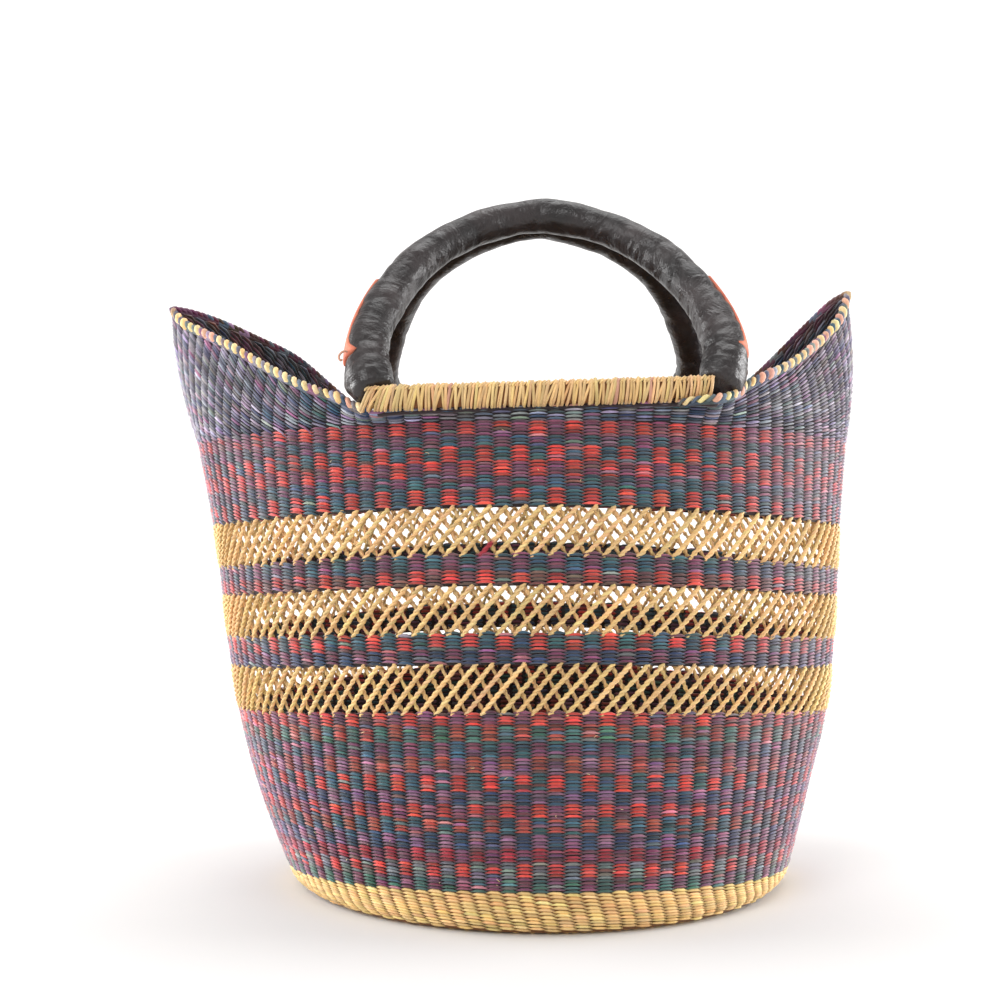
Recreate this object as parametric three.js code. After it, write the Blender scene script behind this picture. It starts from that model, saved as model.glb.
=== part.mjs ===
// A winged straw tote basket with two leather-wrapped handles. Millimetres, +Z up, the front faces -Y.
// The origin is the middle of the oval base on the surface that the basket stands on.
import * as THREE from "three";
import { mergeVertices } from "three/addons/utils/BufferGeometryUtils.js";

// Body sizes. Left and right are as seen from the front, because the basket has slumped a little to one side.
const baseLeft = 152;
const baseRight = 149;
const baseDepth = 130;
const mouthLeft = 225;
const mouthRight = 200;
const mouthDepth = 118;
const checksHeight = 291;
const wallThickness = 3;
const floorThickness = 4;
const clearance = 0.3;

// Wing sizes: how far each tip stands out past the mouth, and above the rim under the rolls.
const leftTipOut = 19;
const rightTipOut = 3;
const panelRise = 7.6;
const leftTipRise = 70.4;
const rightTipRise = 80.4;
const leftTipReach = mouthLeft + leftTipOut;
const rightTipReach = mouthRight + rightTipOut;
const panelHeight = checksHeight + panelRise;
const leftTipHeight = panelHeight + leftTipRise;
const rightTipHeight = panelHeight + rightTipRise;
const wingBelly = 4;

// The row of the weave where each band ends, measured up the middle of the front.
const baseTop = 24;
const lowerWallTop = 125;
const latticeHeight = 27;
const checkRingHeight = 18;
const rowDroop = 13;

// Openwork: the strands lean to the right by a slope, and each window is the space between two of them.
const windowCount = 36;
const strandWidth = 7;
const latticeRail = 2;
const strandSlope = 1.05;

// Rim roll, wing binding and handles.
const rollHeight = 16;
const rollDepth = 18;
const rollTilt = 6.5;
const rollBow = 1.5;
const bindingDiameter = 6;
const handleSpan = 214;
const rollShort = 10;
const rollHalfLength = handleSpan / 2 - rollShort;
const handleRise = 123.8;
const handleLegDiameter = 25;
const handleTopDiameter = 21.5;
const handleFootDiameter = 14;
const footTilt = 8;
const handleTopGap = 0.6;
const inlayWidth = 7;
const inlayArrowWidth = 17;
const inlayLength = 66;
const inlayArrowLength = 11;
const inlayThickness = 1;
const inlayTurn = 0.4;

// How many facets the forms have.
const rightColumns = 14;
const leftColumns = 16;
const handleSteps = 34;
const handleSides = 10;

const straw = { color: 0xe0bd80, roughness: 0.7 };
const dyedWeave = { color: 0x8a4a5c, roughness: 0.75 };
const slateWeave = { color: 0x5c5f7c, roughness: 0.75 };
const darkLeather = { color: 0x322c2d, roughness: 0.45 };
const salmonLeather = { color: 0xd9744f, roughness: 0.55 };

// Sections up the body. rise is a share of checksHeight at the front, droop a share of rowDroop at the sides.
// left, right and depth run from 0 at the base's size to 1 at the mouth's. squareness is 2 for an ellipse.
const sections = [
  { rise: 0, droop: 0, left: 0, right: 0, depth: 0, squareness: 2 },
  { rise: 0.025, droop: 0.1, left: 0.12, right: 0.15, depth: -0.3, squareness: 2 },
  { rise: 0.082, droop: 0.85, left: 0.18, right: 0.23, depth: -0.3, squareness: 2 },
  { rise: 0.26, droop: 0.95, left: 0.45, right: 0.49, depth: -0.05, squareness: 2 },
  { rise: 0.43, droop: 1, left: 0.63, right: 0.73, depth: 0.15, squareness: 1.95 },
  { rise: 0.58, droop: 0.95, left: 0.73, right: 0.83, depth: 0.27, squareness: 1.9 },
  { rise: 0.73, droop: 1, left: 0.8, right: 0.88, depth: 0.43, squareness: 1.88 },
  { rise: 0.83, droop: 1, left: 0.86, right: 0.91, depth: 0.66, squareness: 1.85 },
  { rise: 1, droop: 0.65, left: 1, right: 1, depth: 1, squareness: 1.8 },
];

// The rim under a roll. out is a share of the roll's half length and depth one of mouthDepth.
const rimUnderRoll = [
  { out: 0, depth: 0.985 },
  { out: 0.5, depth: 0.98 },
  { out: 0.9, depth: 0.965 },
];

// The rim of a wing. out runs from 0 at the roll's end to 1 at the tip, and depth is a share of mouthDepth.
// The other columns are shares of the tip's rise over the panel. The back rims stand higher.
const rim = [
  { out: 0.02, depth: 0.95, leftFront: -0.06, leftBack: -0.06, rightFront: 0.02, rightBack: 0.01 },
  { out: 0.09, depth: 0.915, leftFront: -0.03, leftBack: -0.05, rightFront: 0.05, rightBack: 0.01 },
  { out: 0.18, depth: 0.855, leftFront: 0.06, leftBack: 0.055, rightFront: 0.125, rightBack: 0.05 },
  { out: 0.35, depth: 0.73, leftFront: 0.195, leftBack: 0.355, rightFront: 0.235, rightBack: 0.23 },
  { out: 0.52, depth: 0.57, leftFront: 0.385, leftBack: 0.655, rightFront: 0.345, rightBack: 0.37 },
  { out: 0.68, depth: 0.4, leftFront: 0.58, leftBack: 0.81, rightFront: 0.49, rightBack: 0.59 },
  { out: 0.82, depth: 0.237, leftFront: 0.73, leftBack: 0.93, rightFront: 0.64, rightBack: 0.8 },
  { out: 0.93, depth: 0.1, leftFront: 0.85, leftBack: 0.99, rightFront: 0.8, rightBack: 0.95 },
  { out: 1, depth: 0, leftFront: 1, leftBack: 1, rightFront: 1, rightBack: 1 },
];

// The handle from the roll's end round the foot to the top. front and back are shares of half the span, for
// the handle on that side, because the back one has spread. up is a share of the rise. thick runs from 0 at
// the foot's diameter to 1 at the leg's, and slim from 0 there to 1 at the top's.
const handleHalf = [
  { front: 0.92, back: 0.92, up: 0.037, thick: 0, slim: 0 },
  { front: 0.955, back: 0.96, up: 0.045, thick: 0.12, slim: 0 },
  { front: 0.99, back: 1.01, up: 0.1, thick: 0.68, slim: 0 },
  { front: 1, back: 1.055, up: 0.175, thick: 1.08, slim: 0 },
  { front: 0.992, back: 1.055, up: 0.26, thick: 1.05, slim: 0 },
  { front: 0.955, back: 1.025, up: 0.38, thick: 1, slim: 0.05 },
  { front: 0.885, back: 0.955, up: 0.52, thick: 1, slim: 0.2 },
  { front: 0.765, back: 0.84, up: 0.68, thick: 1, slim: 0.45 },
  { front: 0.615, back: 0.685, up: 0.805, thick: 1, slim: 0.7 },
  { front: 0.43, back: 0.48, up: 0.905, thick: 1, slim: 0.9 },
  { front: 0.225, back: 0.25, up: 0.97, thick: 1, slim: 1 },
  { front: 0, back: 0, up: 1, thick: 1, slim: 1 },
];

const mix = (from, to, share) => from + (to - from) * share;

function ease(rows, key, name, at) {
  // A smooth reading of one column of a table, at a place along another one.
  const last = rows.length - 1;
  let i = 0;
  while (i < last - 1 && rows[i + 1][key] < at) i += 1;
  const places = [Math.max(i - 1, 0), i, i + 1, Math.min(i + 2, last)];
  const [before, start, end, after] = places.map((k) => rows[k]);
  const span = end[key] - start[key];
  const share = (at - start[key]) / span;
  const slopeIn = ((end[name] - before[name]) / (end[key] - before[key])) * span;
  const slopeOut = ((after[name] - start[name]) / (after[key] - start[key])) * span;
  const square = share * share;
  const cube = square * share;
  return (
    (2 * cube - 3 * square + 1) * start[name] +
    (cube - 2 * square + share) * slopeIn +
    (3 * square - 2 * cube) * end[name] +
    (cube - square) * slopeOut
  );
}

// The plan's four quarters, in turn from the middle of the front round by the right.
const quarters = [
  { side: 1, facing: -1, rise: "rightFront" },
  { side: 1, facing: 1, rise: "rightBack" },
  { side: -1, facing: 1, rise: "leftBack" },
  { side: -1, facing: -1, rise: "leftFront" },
];

function quarterPoint(curve, quarter, share) {
  // A quarter's curve runs from the middle of its panel to its side. Every second one is walked backwards.
  return curve.getPointAt(quarter % 2 === 0 ? share : 1 - share);
}

const sectionCurves = new Map();

function sectionCurve(height, quarter) {
  const key = height + " " + quarter;
  if (sectionCurves.has(key)) return sectionCurves.get(key);
  const { side, facing } = quarters[quarter];
  const rise = height / checksHeight;
  const row = (name) => ease(sections, "rise", name, rise);
  const width = side > 0 ? mix(baseRight, mouthRight, row("right")) : mix(baseLeft, mouthLeft, row("left"));
  const depth = mix(baseDepth, mouthDepth, row("depth"));
  const power = 2 / row("squareness");
  const points = [];
  const steps = 24;
  for (let i = 0; i <= steps; i += 1) {
    const turn = ((i / steps) * Math.PI) / 2;
    const out = Math.sin(turn) ** power;
    const back = Math.max(Math.cos(turn), 0) ** power;
    const drop = rowDroop * row("droop") * out * out;
    points.push(new THREE.Vector3(side * width * out, facing * depth * back, height - drop));
  }
  const curve = new THREE.CatmullRomCurve3(points);
  sectionCurves.set(key, curve);
  return curve;
}

function tiltAt(tilt, x) {
  // The front and back edges of the mouth climb a little to the right.
  return (tilt * x) / handleSpan;
}

const rimCurves = quarters.map(({ side, facing, rise }) => {
  const reach = side > 0 ? rightTipReach : leftTipReach;
  const climb = (side > 0 ? rightTipHeight : leftTipHeight) - panelHeight;
  const place = (x, row, up) => new THREE.Vector3(side * x, facing * mouthDepth * row.depth, up);
  const level = rimUnderRoll.map((row) => {
    const x = row.out * rollHalfLength;
    return place(x, row, panelHeight + tiltAt(rollTilt, side * x) - 2 * clearance * row.out);
  });
  const wing = rim.map((row) => {
    return place(mix(rollHalfLength, reach, row.out), row, panelHeight + climb * row[rise]);
  });
  return new THREE.CatmullRomCurve3([...level, ...wing], false, "centripetal");
});

// Where a column stands on its quarter: column counts on from the middle of the front, and may be a fraction.
const columnTotal = 2 * (rightColumns + leftColumns);

function columnPlace(column) {
  let left = ((column % columnTotal) + columnTotal) % columnTotal;
  for (let quarter = 0; quarter < quarters.length; quarter += 1) {
    const count = quarters[quarter].side > 0 ? rightColumns : leftColumns;
    if (left <= count) return { quarter, share: left / count };
    left -= count;
  }
  return { quarter: 0, share: 0 };
}

function outerPoint(column, height) {
  // Up to checksHeight the wall follows the sections. Past it, height runs from checksHeight to the rim, as
  // checksHeight plus a share from 0 to 1.
  const { quarter, share } = columnPlace(column);
  if (height <= checksHeight) return quarterPoint(sectionCurve(height, quarter), quarter, share);
  const climb = height - checksHeight;
  const low = quarterPoint(sectionCurve(checksHeight, quarter), quarter, share);
  const high = quarterPoint(rimCurves[quarter], quarter, share);
  const point = low.clone().lerp(high, climb);
  const wing = Math.min(1, Math.max(0, (high.z - panelHeight) / (leftTipHeight - panelHeight)));
  const outward = new THREE.Vector3(low.x, low.y, 0).normalize();
  return point.addScaledVector(outward, wingBelly * wing * 4 * climb * (1 - climb));
}

function wallPoint(column, height, inset) {
  // The point that lies inset behind the outer face, square to the plan's outline there.
  const point = outerPoint(column, height);
  if (inset === 0) return point;
  const step = 0.5;
  const along = outerPoint(column + step, height).sub(outerPoint(column - step, height));
  const inward = new THREE.Vector3(-along.y, along.x, 0).normalize();
  return point.addScaledVector(inward, inset);
}

function moveVertices(geometry, place) {
  // Deals out a class geometry's vertices again, each to the place worked out for it.
  const plain = geometry.clone();
  plain.deleteAttribute("normal");
  plain.deleteAttribute("uv");
  const spots = plain.attributes.position;
  const spot = new THREE.Vector3();
  for (let i = 0; i < spots.count; i += 1) {
    spot.fromBufferAttribute(spots, i);
    const moved = place(spot);
    spots.setXYZ(i, moved.x, moved.y, moved.z);
  }
  return mergeVertices(plain, 1e-3);
}

function wallRing(low, high, rows) {
  // A lathe ring whose profile is inset across and height up, laid onto the basket's form.
  const profile = [];
  for (let i = 0; i <= rows; i += 1) profile.push(new THREE.Vector2(1, mix(low, high, i / rows)));
  for (let i = rows; i >= 0; i -= 1) profile.push(new THREE.Vector2(0, mix(low, high, i / rows)));
  profile.push(profile[0]);
  const ring = new THREE.LatheGeometry(centred(profile), columnTotal);
  return moveVertices(ring, (spot) => {
    const column = (turnOf(spot) / (2 * Math.PI)) * columnTotal;
    const inset = Math.hypot(spot.x, spot.z) - latheRadius;
    return wallPoint(column, spot.y, wallThickness * (1 - inset));
  });
}

const latheRadius = 10;

function centred(profile) {
  return profile.map((spot) => new THREE.Vector2(spot.x + latheRadius, spot.y));
}

function turnOf(spot) {
  // The turn of a lathed vertex about its axis, from 0 up to a full turn, to the nearest facet.
  const turn = Math.atan2(spot.x, spot.z);
  const facets = Math.round((turn / (2 * Math.PI)) * columnTotal);
  return ((facets + columnTotal) % columnTotal) * ((2 * Math.PI) / columnTotal);
}

function wovenBase() {
  // A dish: the profile's x is a share of the way from the axis to the wall, or past 1 an inset in the wall.
  const top = baseTop - clearance;
  const bend = sections[1].rise * checksHeight;
  const outer = [
    { share: 0, up: 0, height: 0, inset: 0 },
    { share: 1, up: 0, height: 0, inset: 0 },
    { share: 1, up: 1, height: bend, inset: 0 },
    { share: 1, up: 2, height: mix(bend, top, 0.5), inset: 0 },
    { share: 1, up: 3, height: top, inset: 0 },
    { share: 0.9, up: 3, height: top, inset: wallThickness },
    { share: 0.9, up: 1.5, height: mix(bend, top, 0.3), inset: wallThickness },
    { share: 0, up: 1.5, height: mix(bend, top, 0.3), inset: wallThickness },
  ];
  const profile = outer.map((row) => new THREE.Vector2(row.share * latheRadius, row.up));
  const dish = new THREE.LatheGeometry(profile, columnTotal);
  return moveVertices(dish, (spot) => {
    const radius = Math.hypot(spot.x, spot.z) / latheRadius;
    const row = outer.find((one) => Math.abs(one.share - radius) < 0.01 && Math.abs(one.up - spot.y) < 0.01);
    if (row.share === 0) return new THREE.Vector3(0, 0, row.height === 0 ? 0 : floorThickness);
    const column = (turnOf(spot) / (2 * Math.PI)) * columnTotal;
    const point = wallPoint(column, row.height, row.inset);
    if (row.up === 1.5) point.z = floorThickness;
    return point;
  });
}

function latticeRing(low, high) {
  // Two rails joined by leaning strands, as one net of corners: two faces, four rows, two columns a strand.
  const round = quarters.reduce((sum, _, quarter) => sum + sectionCurve(low, quarter).getLength(), 0);
  const pitch = columnTotal / windowCount;
  const strand = (strandWidth / round) * columnTotal;
  const lean = ((strandSlope * (high - low - 2 * latticeRail)) / round) * columnTotal;
  const rows = [
    { height: low, shift: 0 },
    { height: low + latticeRail, shift: 0 },
    { height: high - latticeRail, shift: lean },
    { height: high, shift: lean },
  ];
  const corners = 2 * windowCount;
  const spots = [];
  for (const inset of [0, wallThickness]) {
    for (const { height, shift } of rows) {
      for (let i = 0; i < corners; i += 1) {
        const column = Math.floor(i / 2) * pitch + (i % 2) * strand + shift;
        spots.push(...wallPoint(column, height, inset).toArray());
      }
    }
  }
  const at = (face, row, i) => (face * rows.length + row) * corners + (i % corners);
  const faces = [];
  const quad = (a, b, c, d) => faces.push(a, b, c, a, c, d);
  const top = rows.length - 1;
  for (let i = 0; i < corners; i += 1) {
    const open = i % 2 === 1;
    for (let row = 0; row < top; row += 1) {
      if (open && row === 1) continue;
      quad(at(0, row, i), at(0, row, i + 1), at(0, row + 1, i + 1), at(0, row + 1, i));
      quad(at(1, row, i + 1), at(1, row, i), at(1, row + 1, i), at(1, row + 1, i + 1));
    }
    quad(at(1, 0, i), at(1, 0, i + 1), at(0, 0, i + 1), at(0, 0, i));
    quad(at(0, top, i), at(0, top, i + 1), at(1, top, i + 1), at(1, top, i));
    if (open) {
      quad(at(0, 1, i), at(0, 1, i + 1), at(1, 1, i + 1), at(1, 1, i));
      quad(at(1, 2, i), at(1, 2, i + 1), at(0, 2, i + 1), at(0, 2, i));
      quad(at(0, 1, i), at(1, 1, i), at(1, 2, i), at(0, 2, i));
      quad(at(1, 1, i + 1), at(0, 1, i + 1), at(0, 2, i + 1), at(1, 2, i + 1));
    }
  }
  const geometry = new THREE.BufferGeometry();
  geometry.setAttribute("position", new THREE.Float32BufferAttribute(spots, 3));
  geometry.setIndex(faces);
  return geometry;
}

function rodAlong(path, steps, sides, sizeAt, over) {
  // A closed rod: a lathed bar whose height is the share of the path, with its section set across the path.
  const profile = [new THREE.Vector2(0, 0)];
  for (let i = 0; i <= steps; i += 1) profile.push(new THREE.Vector2(1, i / steps));
  profile.push(new THREE.Vector2(0, 1));
  const bar = new THREE.LatheGeometry(profile, sides);
  return moveVertices(bar, (spot) => {
    const share = Math.min(Math.max(spot.y, 0), 1);
    const along = path.getTangentAt(share);
    const across = new THREE.Vector3().crossVectors(along, over).normalize();
    const upward = new THREE.Vector3().crossVectors(across, along).normalize();
    const size = sizeAt(share);
    return path
      .getPointAt(share)
      .addScaledVector(across, (spot.x * size.across) / 2)
      .addScaledVector(upward, (spot.z * size.upward) / 2);
  });
}

// The handle's plane leans in from the roll to the middle, where the two handles all but touch.
const rollAxisHeight = panelHeight + clearance + rollHeight / 2;
const rollAxisDepth = mouthDepth * rimUnderRoll[1].depth - wallThickness / 2;
const handleTopDepth = (handleTopDiameter + handleTopGap) / 2;

function handlePoint(row, side, back) {
  const out = side * (back ? row.back : row.front);
  const up = row.up;
  const x = (out * handleSpan) / 2;
  const depth = mix(rollAxisDepth, handleTopDepth, up);
  const height = rollAxisHeight + up * handleRise + tiltAt(footTilt, x) * (1 - up) ** 3;
  return new THREE.Vector3(x, back ? depth : -depth, height);
}

function handlePath(back) {
  const rising = handleHalf.map((row) => handlePoint(row, -1, back));
  const falling = handleHalf.slice(0, -1).reverse();
  return new THREE.CatmullRomCurve3([...rising, ...falling.map((row) => handlePoint(row, 1, back))]);
}

function handleNormal(back) {
  const rise = new THREE.Vector3(0, handleTopDepth - rollAxisDepth, handleRise);
  if (!back) rise.y = -rise.y;
  return new THREE.Vector3(1, 0, 0).cross(rise).normalize();
}

function handleDiameter(path, share) {
  // The table's row is found by its own place along the path.
  const rows = handleHalf.map((row, i) => ({ ...row, at: handleRowShares(path)[i] }));
  const at = share <= 0.5 ? share : 1 - share;
  const leg = mix(handleFootDiameter, handleLegDiameter, ease(rows, "at", "thick", at));
  return mix(leg, handleTopDiameter, ease(rows, "at", "slim", at));
}

const rowShares = new Map();

function handleRowShares(path) {
  if (rowShares.has(path)) return rowShares.get(path);
  const lengths = path.getLengths(2000);
  const total = lengths[lengths.length - 1];
  const spans = path.points.length - 1;
  const shares = handleHalf.map((row, i) => lengths[Math.round((i / spans) * 2000)] / total);
  rowShares.set(path, shares);
  return shares;
}

function handle(back) {
  const path = handlePath(back);
  const sizeAt = (share) => {
    const diameter = handleDiameter(path, share);
    return { across: diameter, upward: diameter };
  };
  return rodAlong(path, handleSteps, handleSides, sizeAt, handleNormal(back));
}

function inlay(side, back) {
  // A thin strip bent over the outer side of a leg, with an arrow-shaped end near the foot.
  const path = handlePath(back);
  const total = path.getLength();
  const foot = handleRowShares(path)[3];
  const arrow = inlayArrowLength / inlayLength;
  const rows = [
    { at: 0, width: 0.25 },
    { at: arrow, width: 1 },
    { at: arrow + 0.02, width: inlayWidth / inlayArrowWidth },
    { at: 0.45, width: inlayWidth / inlayArrowWidth },
    { at: 0.72, width: inlayWidth / inlayArrowWidth },
    { at: 1, width: 0.2 },
  ];
  const lengthways = rows.length - 1;
  const strip = new THREE.BoxGeometry(1, 1, 1, 4, lengthways, 1);
  const normal = handleNormal(back);
  return moveVertices(strip, (spot) => {
    const row = rows[Math.round((spot.y + 0.5) * lengthways)];
    const share = foot + (row.at * inlayLength) / total;
    const place = side < 0 ? share : 1 - share;
    const radius = handleDiameter(path, place) / 2 + 3 * clearance + inlayThickness * (spot.z + 0.5);
    const turn = (spot.x * row.width * inlayArrowWidth) / radius;
    const along = path.getTangentAt(place);
    const outward = new THREE.Vector3().crossVectors(along, normal).normalize();
    if (outward.x * side < 0) outward.negate();
    const facing = back ? 1 : -1;
    const front = normal.clone().multiplyScalar(Math.sign(normal.y) * facing);
    const angle = inlayTurn + side * facing * turn;
    return path
      .getPointAt(place)
      .addScaledVector(outward, Math.cos(angle) * radius)
      .addScaledVector(front, Math.sin(angle) * radius);
  });
}

function rimRoll(back) {
  // Straw wound round the handle's bar, on the panel's edge between the two feet.
  const facing = back ? 1 : -1;
  const at = (x, bow) => {
    return new THREE.Vector3(x, facing * (rollAxisDepth + bow), rollAxisHeight + tiltAt(rollTilt, x));
  };
  const path = new THREE.QuadraticBezierCurve3(at(-rollHalfLength, 0), at(0, rollBow), at(rollHalfLength, 0));
  const sizeAt = () => ({ across: rollDepth, upward: rollHeight });
  return rodAlong(path, 12, 12, sizeAt, new THREE.Vector3(0, 0, 1));
}

function wingBinding(side) {
  // A rod on the rim from one roll's end round the tip to the other roll's end.
  const [first, second] = side > 0 ? [0, 1] : [2, 3];
  const lift = bindingDiameter / 2 + 5 * clearance;
  const steps = 16;
  const points = [];
  const ends = [first, second].map(bindingStart);
  for (let i = 0; i <= steps; i += 1) points.push(rimPlace(first, mix(ends[0], 1, i / steps), lift));
  for (let i = 1; i <= steps; i += 1) points.push(rimPlace(second, mix(1, ends[1], i / steps), lift));
  const path = new THREE.CatmullRomCurve3(points);
  const sizeAt = () => ({ across: bindingDiameter, upward: bindingDiameter });
  return rodAlong(path, 2 * steps + 4, 6, sizeAt, new THREE.Vector3(0, 0, 1));
}

function bindingStart(quarter) {
  // The share of the rim's quarter where it comes out from under the roll.
  const steps = 200;
  const clearOfRoll = rollHalfLength + bindingDiameter;
  let i = 0;
  while (Math.abs(rimCurves[quarter].getPointAt(i / steps).x) < clearOfRoll) i += 1;
  return i / steps;
}

function rimPlace(quarter, share, lift) {
  const point = rimCurves[quarter].getPointAt(share);
  const along = rimCurves[quarter].getTangentAt(share);
  const inward = new THREE.Vector3(-point.x, -point.y, 0).normalize();
  const across = along.clone().cross(inward).normalize();
  if (across.z < 0) across.negate();
  point.addScaledVector(inward, wallThickness / 2);
  return point.addScaledVector(across, lift);
}

const part = new THREE.Group();

function addPiece(name, geometry, finish) {
  const material = new THREE.MeshStandardMaterial({ ...finish, metalness: 0 });
  const mesh = new THREE.Mesh(geometry, material);
  mesh.name = name;
  part.add(mesh);
}

const bandEdges = [lowerWallTop];
for (const height of [latticeHeight, checkRingHeight, latticeHeight, checkRingHeight, latticeHeight]) {
  bandEdges.push(bandEdges[bandEdges.length - 1] + height);
}
const [latticeOne, ringOne, latticeTwo, ringTwo, latticeThree, upperWallBottom] = bandEdges;

addPiece("woven_base", wovenBase(), straw);
addPiece("lower_wall", wallRing(baseTop, lowerWallTop - clearance, 2), dyedWeave);
addPiece("lattice_lower", latticeRing(latticeOne, ringOne - clearance), straw);
addPiece("check_ring_lower", wallRing(ringOne, latticeTwo - clearance, 1), dyedWeave);
addPiece("lattice_middle", latticeRing(latticeTwo, ringTwo - clearance), straw);
addPiece("check_ring_upper", wallRing(ringTwo, latticeThree - clearance, 1), dyedWeave);
addPiece("lattice_upper", latticeRing(latticeThree, upperWallBottom - clearance), straw);
addPiece("upper_wall", wallRing(upperWallBottom, checksHeight - clearance, 2), dyedWeave);
addPiece("winged_collar", wallRing(checksHeight, checksHeight + 1, 3), slateWeave);
addPiece("rim_roll_front", rimRoll(false), straw);
addPiece("rim_roll_back", rimRoll(true), straw);
addPiece("wing_binding_left", wingBinding(-1), straw);
addPiece("wing_binding_right", wingBinding(1), straw);
addPiece("handle_front", handle(false), darkLeather);
addPiece("handle_back", handle(true), darkLeather);
addPiece("inlay_front_left", inlay(-1, false), salmonLeather);
addPiece("inlay_front_right", inlay(1, false), salmonLeather);
addPiece("inlay_back_left", inlay(-1, true), salmonLeather);
addPiece("inlay_back_right", inlay(1, true), salmonLeather);

export default part;
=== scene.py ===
import math
import bmesh
import bpy
import numpy as np
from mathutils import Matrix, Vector, noise


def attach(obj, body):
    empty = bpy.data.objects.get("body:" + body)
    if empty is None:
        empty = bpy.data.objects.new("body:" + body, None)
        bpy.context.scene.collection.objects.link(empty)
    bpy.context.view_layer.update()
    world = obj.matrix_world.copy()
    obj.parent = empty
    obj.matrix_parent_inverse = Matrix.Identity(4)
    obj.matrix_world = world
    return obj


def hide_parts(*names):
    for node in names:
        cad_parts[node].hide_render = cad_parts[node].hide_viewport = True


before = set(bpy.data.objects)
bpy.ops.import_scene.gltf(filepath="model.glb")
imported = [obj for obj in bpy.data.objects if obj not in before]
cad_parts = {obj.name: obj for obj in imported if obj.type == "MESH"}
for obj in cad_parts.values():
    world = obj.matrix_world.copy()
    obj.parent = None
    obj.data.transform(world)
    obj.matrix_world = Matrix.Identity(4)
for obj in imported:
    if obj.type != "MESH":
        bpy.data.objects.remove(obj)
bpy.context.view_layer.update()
rng = np.random.RandomState(11)
mm = 0.001
print("frame loaded")


# the basket's form, in millimetres

form = {
    "baseLeft": 152, "baseRight": 149, "baseDepth": 130,
    "mouthLeft": 225, "mouthRight": 200, "mouthDepth": 118,
    "checksHeight": 291, "rowDroop": 13, "panelHeight": 298.6,
    "leftTipReach": 244, "rightTipReach": 203, "leftTipHeight": 369, "rightTipHeight": 379,
    "wingBelly": 4, "rollHalfLength": 97, "rollTilt": 6.5, "handleSpan": 214, "clearance": 0.3,
}

# rise, droop, left, right, depth, squareness
sections = np.array([
    (0, 0, 0, 0, 0, 2), (0.025, 0.1, 0.12, 0.15, -0.3, 2), (0.082, 0.85, 0.18, 0.23, -0.3, 2),
    (0.26, 0.95, 0.45, 0.49, -0.05, 2), (0.43, 1, 0.63, 0.73, 0.15, 1.95), (0.58, 0.95, 0.73, 0.83, 0.27, 1.9),
    (0.73, 1, 0.8, 0.88, 0.43, 1.88), (0.83, 1, 0.86, 0.91, 0.66, 1.85), (1, 0.65, 1, 1, 1, 1.8),
])
rimUnderRoll = ((0, 0.985), (0.5, 0.98), (0.9, 0.965))  # out, depth
# out, depth, then the climb of the rim: left front, left back, right front, right back
rim = (
    (0.02, 0.95, -0.06, -0.06, 0.02, 0.01), (0.09, 0.915, -0.03, -0.05, 0.05, 0.01),
    (0.18, 0.855, 0.06, 0.055, 0.125, 0.05), (0.35, 0.73, 0.195, 0.355, 0.235, 0.23),
    (0.52, 0.57, 0.385, 0.655, 0.345, 0.37), (0.68, 0.4, 0.58, 0.81, 0.49, 0.59),
    (0.82, 0.237, 0.73, 0.93, 0.64, 0.8), (0.93, 0.1, 0.85, 0.99, 0.8, 0.95), (1, 0, 1, 1, 1, 1),
)
# side, facing, column of the rim table, number of ribs and how many there would be at the middle's spacing
quarters = ((1, -1, 4, 26, 24), (1, 1, 5, 26, 24), (-1, 1, 3, 30, 26), (-1, -1, 2, 30, 26))
ribTotal = sum(quarter[3] for quarter in quarters)
ribCrowding = 4  # the power with which the ribs draw together at the sides
finePerRib = 8
rowStep = 1.5  # millimetres of the wall to a grid row
collarSteps = 40


def mix(a, b, share):
    return a + (b - a) * share


def readRow(table, at, key=0):
    last = len(table) - 1
    i = 0
    while i < last - 1 and table[i + 1][key] < at:
        i += 1
    before, start, end, after = (table[k] for k in (max(i - 1, 0), i, i + 1, min(i + 2, last)))
    span = end[key] - start[key]
    t = (at - start[key]) / span
    slopeIn = (end - before) / (end[key] - before[key]) * span
    slopeOut = (after - start) / (after[key] - start[key]) * span
    return ((2 * t**3 - 3 * t**2 + 1) * start + (t**3 - 2 * t**2 + t) * slopeIn
            + (3 * t**2 - 2 * t**3) * end + (t**3 - t**2) * slopeOut)


def unit(vectors):
    return vectors / np.maximum(np.linalg.norm(vectors, axis=-1, keepdims=True), 1e-9)


def dot(a, b):
    return np.sum(a * b, axis=-1, keepdims=True)


def evenPoints(points, shares):
    steps = np.linalg.norm(np.diff(points, axis=0), axis=1)
    run = np.concatenate([[0], np.cumsum(steps)])
    return np.stack([np.interp(shares, run / run[-1], points[:, k]) for k in range(3)], axis=1)


def smoothCurve(points, perSpan=20):
    points = np.array(points, float)
    padded = np.vstack([2 * points[0] - points[1], points, 2 * points[-1] - points[-2]])
    t = np.linspace(0, 1, perSpan, endpoint=False)[:, None]
    run = []
    for i in range(len(points) - 1):
        p0, p1, p2, p3 = padded[i:i + 4]
        d0, d1, d2 = (np.linalg.norm(b - a) ** 0.5 for a, b in ((p0, p1), (p1, p2), (p2, p3)))
        slopeIn = ((p1 - p0) / d0 - (p2 - p0) / (d0 + d1) + (p2 - p1) / d1) * d1
        slopeOut = ((p2 - p1) / d1 - (p3 - p1) / (d1 + d2) + (p3 - p2) / d2) * d1
        run.append((2 * t**3 - 3 * t**2 + 1) * p1 + (t**3 - 2 * t**2 + t) * slopeIn
                   + (3 * t**2 - 2 * t**3) * p2 + (t**3 - t**2) * slopeOut)
    run.append(points[-1:])
    return np.vstack(run)


def tiltAt(tilt, x):
    return tilt * x / form["handleSpan"]


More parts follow.
